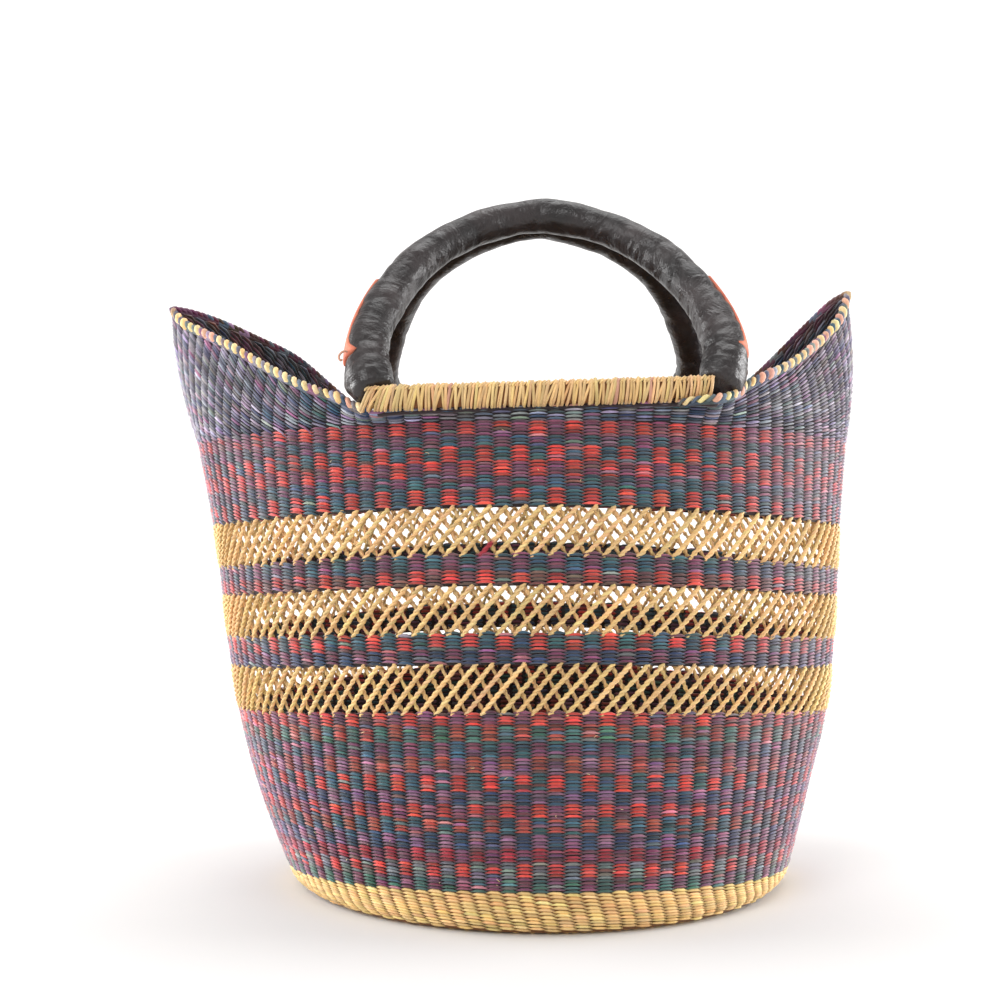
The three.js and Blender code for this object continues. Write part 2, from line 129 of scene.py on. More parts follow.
def sectionCurve(height, quarter):
    side, facing = quarters[quarter][:2]
    row = readRow(sections, height / form["checksHeight"])
    width = (mix(form["baseRight"], form["mouthRight"], row[3]) if side > 0
             else mix(form["baseLeft"], form["mouthLeft"], row[2]))
    depth = mix(form["baseDepth"], form["mouthDepth"], row[4])
    turn = np.linspace(0, math.pi / 2, 160)
    out = np.sin(turn) ** (2 / row[5])
    back = np.maximum(np.cos(turn), 0) ** (2 / row[5])
    return np.stack([side * width * out, facing * depth * back,
                     height - form["rowDroop"] * row[1] * out * out], axis=1)


def rimCurve(quarter):
    side, facing, column = quarters[quarter][:3]
    reach = form["rightTipReach"] if side > 0 else form["leftTipReach"]
    climb = (form["rightTipHeight"] if side > 0 else form["leftTipHeight"]) - form["panelHeight"]
    points = []
    for out, depth in rimUnderRoll:
        x = out * form["rollHalfLength"]
        up = form["panelHeight"] + tiltAt(form["rollTilt"], side * x) - 2 * form["clearance"] * out
        points.append((side * x, facing * form["mouthDepth"] * depth, up))
    for row in rim:
        x = mix(form["rollHalfLength"], reach, row[0])
        points.append((side * x, facing * form["mouthDepth"] * row[1], form["panelHeight"] + climb * row[column]))
    return smoothCurve(points)


def lengthOf(curve):
    return np.linalg.norm(np.diff(curve, axis=0), axis=1).sum()


def ringOf(curveOf, spacing=(1.0,) * 4):
    ring = []
    for quarter, (_, _, _, ribs, evenRibs) in enumerate(quarters):
        shares = np.arange(ribs * finePerRib) / (ribs * finePerRib)
        shares = 1 - shares if quarter % 2 else shares
        shares = mix(shares**ribCrowding, shares, ribs / evenRibs * spacing[quarter])
        ring.append(evenPoints(curveOf(quarter), shares))
    return np.vstack(ring)


wallRows = round(form["checksHeight"] / rowStep)
crowdedLow = ((0, 0.97), (24, 0.965), (120, 0.955), (200, 1.0), (291, 1.0))  # height, spacing at the middle
wallGrid = np.stack([
    ringOf(lambda q, h=i * rowStep: sectionCurve(h, q), [np.interp(i * rowStep, *zip(*crowdedLow))] * 4)
    for i in range(wallRows + 1)
])
rimRing = ringOf(rimCurve, [lengthOf(sectionCurve(form["checksHeight"], q)) / lengthOf(rimCurve(q)) for q in range(4)])
topRing = wallGrid[-1]
climbs = (np.arange(1, collarSteps + 1) / collarSteps)[:, None, None]
wing = np.clip((rimRing[:, 2] - form["panelHeight"]) / (form["leftTipHeight"] - form["panelHeight"]), 0, 1)
outward = unit(topRing * np.array([1, 1, 0]))
collarGrid = mix(topRing, rimRing, climbs) + outward * (form["wingBelly"] * wing)[:, None] * 4 * climbs * (1 - climbs)
grid = np.concatenate([wallGrid, collarGrid])
alongGrid = np.roll(grid, -1, axis=1) - np.roll(grid, 1, axis=1)
outGrid = unit(np.cross(alongGrid, np.gradient(grid, axis=0)))
collarLength = np.linalg.norm(rimRing - topRing, axis=1)[::finePerRib]  # at the ribs' edges


def sample(source, rib, row):
    column = (np.asarray(rib) % ribTotal) * finePerRib
    row = np.clip(row, 0, len(source) - 1.001)
    c0, r0 = np.floor(column).astype(int), np.floor(row).astype(int)
    fc, fr = (column - c0)[..., None], (row - r0)[..., None]
    c0 %= source.shape[1]
    c1 = (c0 + 1) % source.shape[1]
    low = mix(source[r0, c0], source[r0, c1], fc)
    high = mix(source[r0 + 1, c0], source[r0 + 1, c1], fc)
    return mix(low, high, fr)


def wallPlace(rib, row, lift):
    out = unit(sample(outGrid, rib, row))
    return sample(grid, rib, row) + out * np.asarray(lift)[..., None], out


print("form ready")


# making meshes


def finishPiece(name, mesh, material, nodes=()):
    piece = bpy.data.objects.new(name, mesh)
    bpy.context.scene.collection.objects.link(piece)
    mesh.materials.append(material)
    mesh.shade_smooth()
    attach(piece, "root")
    if nodes:
        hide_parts(*nodes)
    return piece


beads = {}


def beadTemplate(rings, sides):
    # a small closed strand with its tips as poles: ring number, direction across and faces
    if (rings, sides) not in beads:
        bm = bmesh.new()
        bmesh.ops.create_uvsphere(bm, u_segments=sides, v_segments=rings - 1, radius=1)
        spots = np.array([v.co for v in bm.verts])
        ring = np.rint(np.arccos(np.clip(-spots[:, 2], -1, 1)) / math.pi * (rings - 1)).astype(int)
        across = spots[:, :2] / np.maximum(np.linalg.norm(spots[:, :2], axis=1), 1e-6)[:, None]
        across[(ring == 0) | (ring == rings - 1)] = 0
        faces = [[v.index for v in face.verts] for face in bm.faces]
        bm.free()
        beads[(rings, sides)] = (ring, across, faces)
    return beads[(rings, sides)]


def strands(name, centres, outs, halfUp, halfOut, dyes, sides=4):
    # joins one closed strand for each row of centres into a mesh, with its colour and its grain's map
    count, rings = centres.shape[:2]
    ring, across, faces = beadTemplate(rings, sides)
    along = unit(np.gradient(centres, axis=1))
    out = unit(outs - along * dot(along, outs))
    up = np.cross(out, along)
    halfUp = np.broadcast_to(halfUp, (count, rings))[:, ring, None]
    halfOut = np.broadcast_to(halfOut, (count, rings))[:, ring, None]
    verts = (centres[:, ring] + up[:, ring] * across[:, 0, None] * halfUp
             + out[:, ring] * across[:, 1, None] * halfOut)
    total = len(ring)
    sizes = np.tile([len(face) for face in faces], count)
    flat = np.concatenate([np.array(face) for face in faces])
    corners = (flat[None, :] + np.arange(count)[:, None] * total).ravel()
    mesh = bpy.data.meshes.new(name)
    mesh.vertices.add(count * total)
    mesh.vertices.foreach_set("co", (verts * mm).ravel())
    mesh.loops.add(len(corners))
    mesh.loops.foreach_set("vertex_index", corners)
    mesh.polygons.add(len(sizes))
    mesh.polygons.foreach_set("loop_start", np.concatenate([[0], np.cumsum(sizes)[:-1]]))
    mesh.update(calc_edges=True)
    dyes = np.asarray(dyes, float)
    if dyes.ndim == 2:
        dyes = np.repeat(dyes[:, None, :], rings, axis=1)
    colours = np.concatenate([dyes[:, ring], np.ones((count, total, 1))], axis=2)
    mesh.color_attributes.new("dye", "FLOAT_COLOR", "POINT").data.foreach_set("color", colours.ravel())
    length = np.linalg.norm(np.diff(centres, axis=1), axis=2).sum(axis=1)
    alongShare = length[:, None] * (ring / (rings - 1))[None, :] + rng.uniform(0, 500, (count, 1))
    around = np.arctan2(across[:, 1], across[:, 0])[None, :] / math.tau + np.zeros((count, 1))
    uv = np.stack([alongShare.ravel(), around.ravel()], axis=1)[corners]
    mesh.uv_layers.new(name="grain").data.foreach_set("uv", uv.ravel())
    return mesh


def closedGrid(name, place, columns, rows, dye=(0.5, 0.5, 0.5)):
    # a grid laid onto place(u, v), both from 0 to 1, and sewn to itself where its edges meet
    bm = bmesh.new()
    bmesh.ops.create_grid(bm, x_segments=columns, y_segments=rows, size=1)
    spots = np.array([v.co for v in bm.verts])
    u = np.rint((spots[:, 0] + 1) / 2 * columns) / columns
    v = np.rint((spots[:, 1] + 1) / 2 * rows) / rows
    placed = place(u, v) * mm
    uvLayer = bm.loops.layers.uv.new("grain")
    for vert, spot in zip(bm.verts, placed):
        vert.co = spot
    for face in bm.faces:
        for loop in face.loops:
            loop[uvLayer].uv = (u[loop.vert.index], v[loop.vert.index])
    bmesh.ops.remove_doubles(bm, verts=bm.verts, dist=1e-6)
    bmesh.ops.dissolve_degenerate(bm, edges=bm.edges, dist=1e-7)
    bmesh.ops.recalc_face_normals(bm, faces=bm.faces)
    mesh = bpy.data.meshes.new(name)
    bm.to_mesh(mesh)
    bm.free()
    tint = np.tile((*dye, 1.0), len(mesh.vertices))
    mesh.color_attributes.new("dye", "FLOAT_COLOR", "POINT").data.foreach_set("color", tint)
    return mesh


# materials


def linear(r, g, b):
    return tuple((c / 255 / 12.92) if c <= 10 else ((c / 255 + 0.055) / 1.055) ** 2.4 for c in (r, g, b))


def makeFibreGroup():
    group = bpy.data.node_groups.new("fibreStreaks", "ShaderNodeTree")
    face = group.interface
    for label, kind, value in (("Color", "NodeSocketColor", (0.5, 0.5, 0.5, 1)), ("Lengthways", "NodeSocketFloat", 0.1),
                               ("Crossways", "NodeSocketFloat", 6), ("Contrast", "NodeSocketFloat", 0.3)):
        face.new_socket(label, in_out="INPUT", socket_type=kind).default_value = value
    face.new_socket("Color", in_out="OUTPUT", socket_type="NodeSocketColor")
    face.new_socket("Height", in_out="OUTPUT", socket_type="NodeSocketFloat")
    nodes, links = group.nodes, group.links
    into = nodes.new("NodeGroupInput")
    out = nodes.new("NodeGroupOutput")
    uv = nodes.new("ShaderNodeUVMap")
    uv.uv_map = "grain"
    split = nodes.new("ShaderNodeSeparateXYZ")
    join = nodes.new("ShaderNodeCombineXYZ")
    wide = nodes.new("ShaderNodeMath")
    wide.operation = "MULTIPLY"
    tall = nodes.new("ShaderNodeMath")
    tall.operation = "MULTIPLY"
    streak = nodes.new("ShaderNodeTexNoise")
    streak.inputs["Scale"].default_value = 1
    streak.inputs["Detail"].default_value = 4
    streak.inputs["Roughness"].default_value = 0.65
    shade = nodes.new("ShaderNodeMapRange")
    shade.inputs["From Min"].default_value = 0.3
    shade.inputs["From Max"].default_value = 0.7
    low = nodes.new("ShaderNodeMath")
    low.operation = "SUBTRACT"
    low.inputs[0].default_value = 1
    high = nodes.new("ShaderNodeMath")
    high.operation = "ADD"
    high.inputs[0].default_value = 1
    scale = nodes.new("ShaderNodeVectorMath")
    scale.operation = "SCALE"
    links.new(uv.outputs[0], split.inputs[0])
    links.new(split.outputs[0], wide.inputs[0])
    links.new(into.outputs["Lengthways"], wide.inputs[1])
    links.new(split.outputs[1], tall.inputs[0])
    links.new(into.outputs["Crossways"], tall.inputs[1])
    links.new(wide.outputs[0], join.inputs[0])
    links.new(tall.outputs[0], join.inputs[1])
    links.new(join.outputs[0], streak.inputs["Vector"])
    links.new(streak.outputs["Fac"], shade.inputs["Value"])
    links.new(into.outputs["Contrast"], low.inputs[1])
    links.new(into.outputs["Contrast"], high.inputs[1])
    links.new(low.outputs[0], shade.inputs["To Min"])
    links.new(high.outputs[0], shade.inputs["To Max"])
    links.new(into.outputs["Color"], scale.inputs[0])
    links.new(shade.outputs[0], scale.inputs["Scale"])
    links.new(scale.outputs[0], out.inputs["Color"])
    links.new(streak.outputs["Fac"], out.inputs["Height"])
    return group


fibreStreaks = makeFibreGroup()


def newMaterial(name):
    material = bpy.data.materials.new(name)
    material.use_nodes = True
    tree = material.node_tree
    return material, tree, tree.nodes["Principled BSDF"]


def fibreMaterial(name, look):
    material, tree, shader = newMaterial(name)
    nodes, links = tree.nodes, tree.links
    dye = nodes.new("ShaderNodeAttribute")
    dye.attribute_name = "dye"
    fibre = nodes.new("ShaderNodeGroup")
    fibre.node_tree = fibreStreaks
    fibre.inputs["Lengthways"].default_value = look["lengthways"]
    fibre.inputs["Crossways"].default_value = look["crossways"]
    fibre.inputs["Contrast"].default_value = look["contrast"]
    bump = nodes.new("ShaderNodeBump")
    bump.inputs["Strength"].default_value = look["bump"]
    bump.inputs["Distance"].default_value = 0.0004
    rough = nodes.new("ShaderNodeMapRange")
    rough.inputs["To Min"].default_value = look["roughness"] - 0.1
    rough.inputs["To Max"].default_value = look["roughness"] + 0.12
    links.new(dye.outputs["Color"], fibre.inputs["Color"])
    links.new(fibre.outputs["Color"], shader.inputs["Base Color"])
    links.new(fibre.outputs["Height"], bump.inputs["Height"])
    links.new(fibre.outputs["Height"], rough.inputs["Value"])
    links.new(rough.outputs[0], shader.inputs["Roughness"])
    links.new(bump.outputs[0], shader.inputs["Normal"])
    shader.inputs["Specular IOR Level"].default_value = look["gloss"]
    shader.inputs["Sheen Weight"].default_value = look["sheen"]
    shader.inputs["Sheen Roughness"].default_value = 0.45
    shader.inputs["Sheen Tint"].default_value = (1, 0.95, 0.95, 1)
    return material


def leatherMaterial(name, look):
    material, tree, shader = newMaterial(name)
    nodes, links = tree.nodes, tree.links
    coords = nodes.new("ShaderNodeTexCoord")
    blotch = nodes.new("ShaderNodeTexNoise")
    blotch.inputs["Scale"].default_value = look["blotchScale"]
    blotch.inputs["Detail"].default_value = 5
    tint = nodes.new("ShaderNodeValToRGB")
    tint.color_ramp.elements[0].position = 0.32
    tint.color_ramp.elements[0].color = (*look["dark"], 1)
    tint.color_ramp.elements[1].position = 0.72
    tint.color_ramp.elements[1].color = (*look["light"], 1)
    grain = nodes.new("ShaderNodeTexVoronoi")
    grain.inputs["Scale"].default_value = look["grainScale"]
    crease = nodes.new("ShaderNodeTexNoise")
    crease.inputs["Scale"].default_value = look["creaseScale"]
    crease.inputs["Detail"].default_value = 6
    crease.inputs["Distortion"].default_value = 0.8
    gridMap = nodes.new("ShaderNodeUVMap")
    gridMap.uv_map = "grain"
    acrossLeg = nodes.new("ShaderNodeMapping")
    acrossLeg.inputs["Scale"].default_value = (look["foldAround"], look["foldAlong"], 1)
    fold = nodes.new("ShaderNodeTexNoise")
    fold.inputs["Scale"].default_value = 1
    fold.inputs["Detail"].default_value = 4
    fold.inputs["Distortion"].default_value = 1.4
    foldBump = nodes.new("ShaderNodeBump")
    foldBump.inputs["Strength"].default_value = look["fold"]
    foldBump.inputs["Distance"].default_value = 0.003
    links.new(gridMap.outputs[0], acrossLeg.inputs["Vector"])
    links.new(acrossLeg.outputs[0], fold.inputs["Vector"])
    links.new(fold.outputs["Fac"], foldBump.inputs["Height"])
    grainBump = nodes.new("ShaderNodeBump")
    grainBump.inputs["Strength"].default_value = look["grain"]
    grainBump.inputs["Distance"].default_value = 0.0003
    creaseBump = nodes.new("ShaderNodeBump")
    creaseBump.inputs["Strength"].default_value = look["crease"]
    creaseBump.inputs["Distance"].default_value = 0.0015
    rough = nodes.new("ShaderNodeMapRange")
    rough.inputs["From Min"].default_value = 0.3
    rough.inputs["From Max"].default_value = 0.7
    rough.inputs["To Min"].default_value = look["roughness"] - 0.08
    rough.inputs["To Max"].default_value = look["roughness"] + 0.1
    for texture in (blotch, grain, crease):
        links.new(coords.outputs["Object"], texture.inputs["Vector"])
    links.new(blotch.outputs["Fac"], tint.inputs["Fac"])
    links.new(tint.outputs["Color"], shader.inputs["Base Color"])
    links.new(crease.outputs["Fac"], creaseBump.inputs["Height"])
    links.new(foldBump.outputs[0], creaseBump.inputs["Normal"])
    links.new(grain.outputs["Distance"], grainBump.inputs["Height"])
    links.new(creaseBump.outputs[0], grainBump.inputs["Normal"])
    links.new(grainBump.outputs[0], shader.inputs["Normal"])
    links.new(crease.outputs["Fac"], rough.inputs["Value"])
    links.new(rough.outputs[0], shader.inputs["Roughness"])
    shader.inputs["Specular IOR Level"].default_value = look["gloss"]
    return material


strawLook = {"lengthways": 0.12, "crossways": 5, "contrast": 0.22, "bump": 0.35, "roughness": 0.55, "gloss": 0.35,
             "sheen": 0.1}
dyedLook = {"lengthways": 0.2, "crossways": 4, "contrast": 0.4, "bump": 0.45, "roughness": 0.55, "gloss": 0.4,
            "sheen": 0.4}
leatherLook = {
    "dark": linear(20, 16, 16), "light": linear(54, 46, 46), "blotchScale": 45, "grainScale": 900, "creaseScale": 90,
    "grain": 0.35, "crease": 0.8, "roughness": 0.33, "gloss": 0.52, "foldAround": 2.4, "foldAlong": 20, "fold": 1.0,
}
inlayLook = {
    "dark": linear(196, 100, 78), "light": linear(226, 134, 102), "blotchScale": 120, "grainScale": 1200,
    "creaseScale": 150, "grain": 0.2, "crease": 0.15, "roughness": 0.6, "gloss": 0.4, "foldAround": 2, "foldAlong": 3, "fold": 0.1,
}
naturalStraw = fibreMaterial("naturalStraw", strawLook)
dyedStraw = fibreMaterial("dyedStraw", dyedLook)
darkLeather = leatherMaterial("darkLeather", leatherLook)
salmonLeather = leatherMaterial("salmonLeather", inlayLook)
print("materials ready")


# the woven walls

dyes = {
    "red": linear(200, 68, 60), "crimson": linear(162, 48, 60), "rust": linear(162, 74, 62),
    "plum": linear(122, 68, 92), "lilac": linear(142, 96, 124), "brown": linear(110, 74, 72),
    "teal": linear(56, 90, 102), "green": linear(72, 110, 102), "navy": linear(50, 70, 98),
    "slate": linear(90, 98, 118), "grey": linear(112, 116, 118), "pink": linear(184, 112, 118),
    "ash": linear(140, 136, 152), "mist": linear(168, 162, 176), "straw": linear(230, 192, 134),
    "baseStraw": linear(238, 200, 136), "cream": linear(232, 204, 150), "peach": linear(222, 166, 140),
    # the last two are painted shade: dark fills set behind the stitches, under the rolls and inside the wraps, so that
    # the gaps between them read dark
    "gapShade": linear(30, 16, 20), "strawGapShade": linear(126, 80, 40),
}
# lowest row, highest row, colour of the odd columns, colour of the even ones
checks = (
    (24, 31.7, "green", "plum"), (31.7, 39.6, "grey", "red"), (39.6, 47.5, "crimson", "plum"),
    (47.5, 56, "lilac", "navy"), (56, 64.6, "teal", "rust"), (64.6, 72.5, "red", "plum"),
    (72.5, 80.4, "lilac", "navy"), (80.4, 89.5, "teal", "red"), (89.5, 98.6, "rust", "lilac"),
    (98.6, 107.7, "plum", "teal"), (107.7, 116.8, "green", "rust"), (116.8, 125, "red", "plum"),
    (152, 159.5, "navy", "plum"), (159.5, 170, "red", "teal"), (197, 204.5, "brown", "red"),
    (204.5, 215, "teal", "plum"), (242, 251.8, "teal", "red"), (251.8, 259.2, "plum", "teal"),
    (259.2, 267.7, "red", "plum"), (267.7, 275.6, "teal", "red"), (275.6, 282.4, "plum", "teal"),
    (282.4, 291, "red", "plum"),
)
strayDyes = ("lilac", "grey", "brown", "pink", "slate")
wingDyes = ("slate", "ash", "lilac", "navy", "grey", "slate", "ash", "teal", "ash", "mist", "slate", "grey")
# the last three entries on the third line set the painted sheen that pales the dyes at the sides
stitchLook = {
    "pitch": 1.9, "half": 0.65, "arch": 1.2, "up": 0.92, "out": 1.25, "lift": 0.2, "tuck": 1.2,
    "stray": 0.08, "spread": 0.26, "leaf": 1.0, "sideStray": 0.12, "sideSheenPaint": 0.35, "sheenPaintFrom": 110, "sheenPaintOver": 80,
}
innerLook = {"pitch": 3.2, "half": 0.6, "arch": 0.3, "up": 1.55, "out": 0.7, "lift": 0.1, "tuck": 0.8, "leaf": 0.6}


def dyeShades(names, spread):
    colours = np.array([dyes[name] for name in names])
    level = np.exp(rng.normal(0, spread, (len(names), 1)))
    drift = np.exp(rng.normal(0, spread * 0.45, (len(names), 3)))
    return np.clip(colours * level * drift, 0, 1)


# painted shade: each stitch darkens towards its tips, where it tucks under its neighbours
def tipPaintedShade(rings, depth=0.45):
    u = -np.cos(np.linspace(0, math.pi, rings))
    return 1 - depth * np.abs(u) ** 3


def stitches(name, ribs, rows, rowsPerMm, look, colours, slant=0, rings=6, sides=4, inside=False):
    # one leaf-shaped stitch for each rib and row given
    u = -np.cos(np.linspace(0, math.pi, rings))[None, :]
    body = (1 - u**2).clip(0, 1)
    slant = np.broadcast_to(slant, ribs.shape)[:, None]
    arch = look["arch"] + rng.normal(0, 0.12, (len(ribs), 1))
    rib = ribs[:, None] + look["half"] * u
    row = rows[:, None] + rowsPerMm[:, None] * (arch * body - slant * u)
    lift = look["lift"] - look["tuck"] * (1 - body) ** 2 + rng.normal(0, 0.12, (len(ribs), 1)) * body
    if inside:
        lift = -3 + 0.2 - lift + 0.9
    centres, outs = wallPlace(rib, row, lift - look["out"])
    swell = body ** look["leaf"] * np.exp(rng.normal(0, 0.08, (len(ribs), 1)))
    # painted shade at the stitch tips
    shade = tipPaintedShade(rings, 0.6)[None, :, None]
    return strands(name, centres, outs, look["up"] * swell, look["out"] * swell,
                   colours[:, None, :] * shade, sides)


def columnRows(bottom, top, pitch):
    # rib centres and heights of the stitches, every second column half a stitch higher
    count = round((top - bottom) / pitch)
    step = (top - bottom) / count
    ribs, heights = [], []
    for column in range(ribTotal):
        shift = 0.25 if column % 2 else 0.75
        ribs.append(np.full(count, column + 0.5))
        heights.append(bottom + (np.arange(count) + shift) * step)
    return np.concatenate(ribs), np.concatenate(heights)


def sideShare(ribs):
    # nothing across the front and the back, rising to one at the sides; it sets where the painted sheen falls and where
    # strays come more often
    x = sample(wallGrid, ribs, np.full(np.shape(ribs), float(wallRows // 2)))[..., 0]
    return np.clip((np.abs(x + 20) - stitchLook["sheenPaintFrom"]) / stitchLook["sheenPaintOver"], 0, 1)


def paintedSideSheen(colours, share):
    # painted sheen: the dyes are mixed towards a pale lilac grey where the wall turns away at the sides, in place of
    # the lighter look that grazing light gives the straw there
    return mix(colours, np.array(linear(186, 156, 170)), (share * stitchLook["sideSheenPaint"])[:, None])


def checkDye(rib, height, aside):
    odd = int(rib) % 2 == 1
    for low, high, oddName, evenName in checks:
        if height < high + 0.2:
            name = oddName if odd else evenName
            break
    if rng.uniform() < mix(stitchLook["stray"], stitchLook["sideStray"], aside):
        name = strayDyes[rng.randint(len(strayDyes))]
    return name


def sideSlant(ribs):
    # the twist shows as a slant: down to the right on the left side, a little up to the right on the right
    x = sample(wallGrid, ribs, np.full(ribs.shape, 130.0))[:, 0]
    return np.where(x < 0, np.clip(-x / 200, 0, 1) ** 2 * 1.8, -np.clip(x / 190, 0, 1) ** 2 * 0.9)


# painted shade: a dark sheet just behind the stitches of each band, so that the gaps between them read dark
def backingRing(name, low, high, lowInset=1.7, highInset=2.6, dye=None):
    rows = max(1, round((high - low) / 12))

    def place(u, v):
        turn = v * (2 * rows + 2)
        outer = turn <= rows
        share = np.where(outer, turn / rows, 1 - (turn - rows - 1) / rows)
        inset = np.where(outer, lowInset, highInset)
        closing = turn > 2 * rows + 1.5
        share = np.where(closing, 0, np.clip(share, 0, 1))
        inset = np.where(closing, lowInset, inset)
        return wallPlace(u * ribTotal, mix(low, high, share) / rowStep, -inset)[0]

    return closedGrid(name, place, ribTotal, 2 * rows + 2, dye or dyes["gapShade"])


def joinMeshes(first, *others):
    bm = bmesh.new()
    for mesh in (first, *others):
        bm.from_mesh(mesh)
    bm.to_mesh(first)
    bm.free()
    for mesh in others:
        bpy.data.meshes.remove(mesh)
    return first


def woundBand(name, node, low, high):
    ribs, heights = columnRows(low, high, stitchLook["pitch"])
    aside = sideShare(ribs)
    # painted sheen: the dyes are paled towards the sides
    colours = paintedSideSheen(dyeShades([checkDye(*at) for at in zip(ribs, heights, aside)], stitchLook["spread"]), aside)
    perMm = np.full(ribs.shape, 1 / rowStep)
    outer = stitches(name, ribs, heights / rowStep, perMm, stitchLook, colours, sideSlant(ribs))
    inRibs, inHeights = columnRows(low, high, innerLook["pitch"])
    # painted shade: the inner stitches take their dyes at six tenths, darker than outside
    inColours = dyeShades([checkDye(r + 1, h, 0) for r, h in zip(inRibs, inHeights)], 0.2) * 0.6
    inner = stitches(name + "Inner", inRibs, inHeights / rowStep, np.full(inRibs.shape, 1 / rowStep), innerLook,
                     inColours, -sideSlant(inRibs), rings=4, inside=True)
    finishPiece(name, outer, dyedStraw, [node])
    inner = joinMeshes(inner, backingRing(name + "Back", low, high))
    finishPiece(name + "Inside", inner, dyedStraw, [])


bandEdges = {"base": 24, "lowerWall": 125, "ringLower": (152, 170), "ringUpper": (197, 215), "upperWall": 242}
woundBand("lowerWallWeave", "lower_wall", bandEdges["base"], bandEdges["lowerWall"])
woundBand("checkRingLowerWeave", "check_ring_lower", *bandEdges["ringLower"])
woundBand("checkRingUpperWeave", "check_ring_upper", *bandEdges["ringUpper"])
woundBand("upperWallWeave", "upper_wall", bandEdges["upperWall"], form["checksHeight"])
fleckLook = {"count": 160, "thick": 0.17, "rise": 0.6, "spanUp": 1.0, "spanAcross": 0.16}


def looseFibres(name, bands):
    # short pale fibres that stand off the dyed stitches
    count = fleckLook["count"]
    pick = rng.randint(0, len(bands), count)
    low = np.array([bands[k][0] for k in pick]) + 3
    high = np.array([bands[k][1] for k in pick]) - 3
    ribs = rng.uniform(0, ribTotal, count)
    heights = mix(low, high, rng.uniform(size=count))
    along = np.linspace(-1, 1, 6)[None, :]
    across = rng.uniform(-1, 1, (count, 1)) * fleckLook["spanAcross"]
    upward = rng.uniform(-1, 1, (count, 1)) * fleckLook["spanUp"]
    bend = rng.normal(0, 0.08, (count, 1)) * along**2
    centres, outs = wallPlace(ribs[:, None] + across * along + bend, (heights[:, None] + upward * along) / rowStep,
                              -0.2 + fleckLook["rise"] * (1 - along**2) + 0 * across)
    body = np.sqrt((1 - along**2).clip(0, 1)) * np.ones((count, 1)) * fleckLook["thick"]
    return strands(name, centres, outs, body, body, dyeShades(["cream"] * count, 0.15), sides=4)


finishPiece("looseFibres", looseFibres("looseFibres", ((24, 125), (24, 125), (24, 125), (242, 291))), dyedStraw, [])
print("walls woven")

wingLook = {
    "pitch": 2.1, "half": 0.66, "arch": 0.6, "up": 0.82, "out": 1.3, "lift": 0.3, "tuck": 2.2, "leaf": 1.0,
    "leftSlant": 3.2, "rightSlant": -1.0, "edge": 0.0,
}


def wingStitches(inside):
    ribs, rows, perMm, slants, names = [], [], [], [], []
    pitch = wingLook["pitch"] * (1.35 if inside else 1)
    for column in range(ribTotal):
        length = mix(collarLength[column], collarLength[(column + 1) % ribTotal], 0.5) - wingLook["edge"]
        count = max(3, round(length / pitch))
        step = length / count
        shift = 0.3 if column % 2 else 0.7
        x = sample(grid, np.array([column + 0.5]), np.array([float(len(grid) - 1)]))[0, 0]
        lean = np.clip((abs(x) - form["rollHalfLength"] + 8) / 40, 0, 1)
        for k in range(count):
            up = (k + shift) * step
            ribs.append(column + 0.5)
            rows.append(wallRows + up / (length + wingLook["edge"]) * collarSteps)
            perMm.append(collarSteps / (length + wingLook["edge"]))
            fade = 1 - 0.4 * (1 - up / length) * (length < 20)
            slants.append((wingLook["leftSlant"] if x < 0 else wingLook["rightSlant"]) * lean * fade)
            names.append(wingDyes[rng.randint(len(wingDyes))])
    ribs, rows, perMm, slants = map(np.array, (ribs, rows, perMm, slants))
    if inside:
        # painted shade: the inner wing stitches take their dyes at about six tenths
        colours = dyeShades([("navy", "plum", "brown", "slate", "ash")[rng.randint(5)] for _ in names], 0.3) * 0.62
        lean = np.where(slants > 0, -slants, -2.6 * slants)
        return stitches("wingWeaveInside", ribs, rows, perMm, dict(wingLook, up=1.1), colours, lean,
                        rings=5, inside=True)
    # painted sheen: the wing's dyes are paled towards the sides as well, at seven tenths of the wall's strength
    colours = paintedSideSheen(dyeShades(names, 0.27), sideShare(ribs) * 0.7)
    return stitches("wingWeave", ribs, rows, perMm, wingLook, colours, slants, rings=7, sides=4)


# painted shade: a dark sheet behind the collar's stitches, over the rim and down the inner side
def collarBacking():
    def place(u, v):
        # out and up the outer side, over the rim, down the inner side
        turn = v * 8
        share = np.where(turn <= 3, turn / 3, np.where(turn <= 4, 1, np.clip(1 - (turn - 4) / 3, 0, 1)))
        inset = np.where((turn <= 3) | (turn > 7.5), 1.7, 2.6)
        return wallPlace(u * ribTotal, wallRows + share * collarSteps, -inset)[0]

    return closedGrid("collarBack", place, ribTotal, 8, dyes["gapShade"])


lipLook = {"half": 0.62, "up": 1.35, "out": 1.3, "rise": 1.6, "lift": 0.5, "reach": 101, "backDrop": 0.3,
           "cord": 1.8, "cordLift": 0.7}


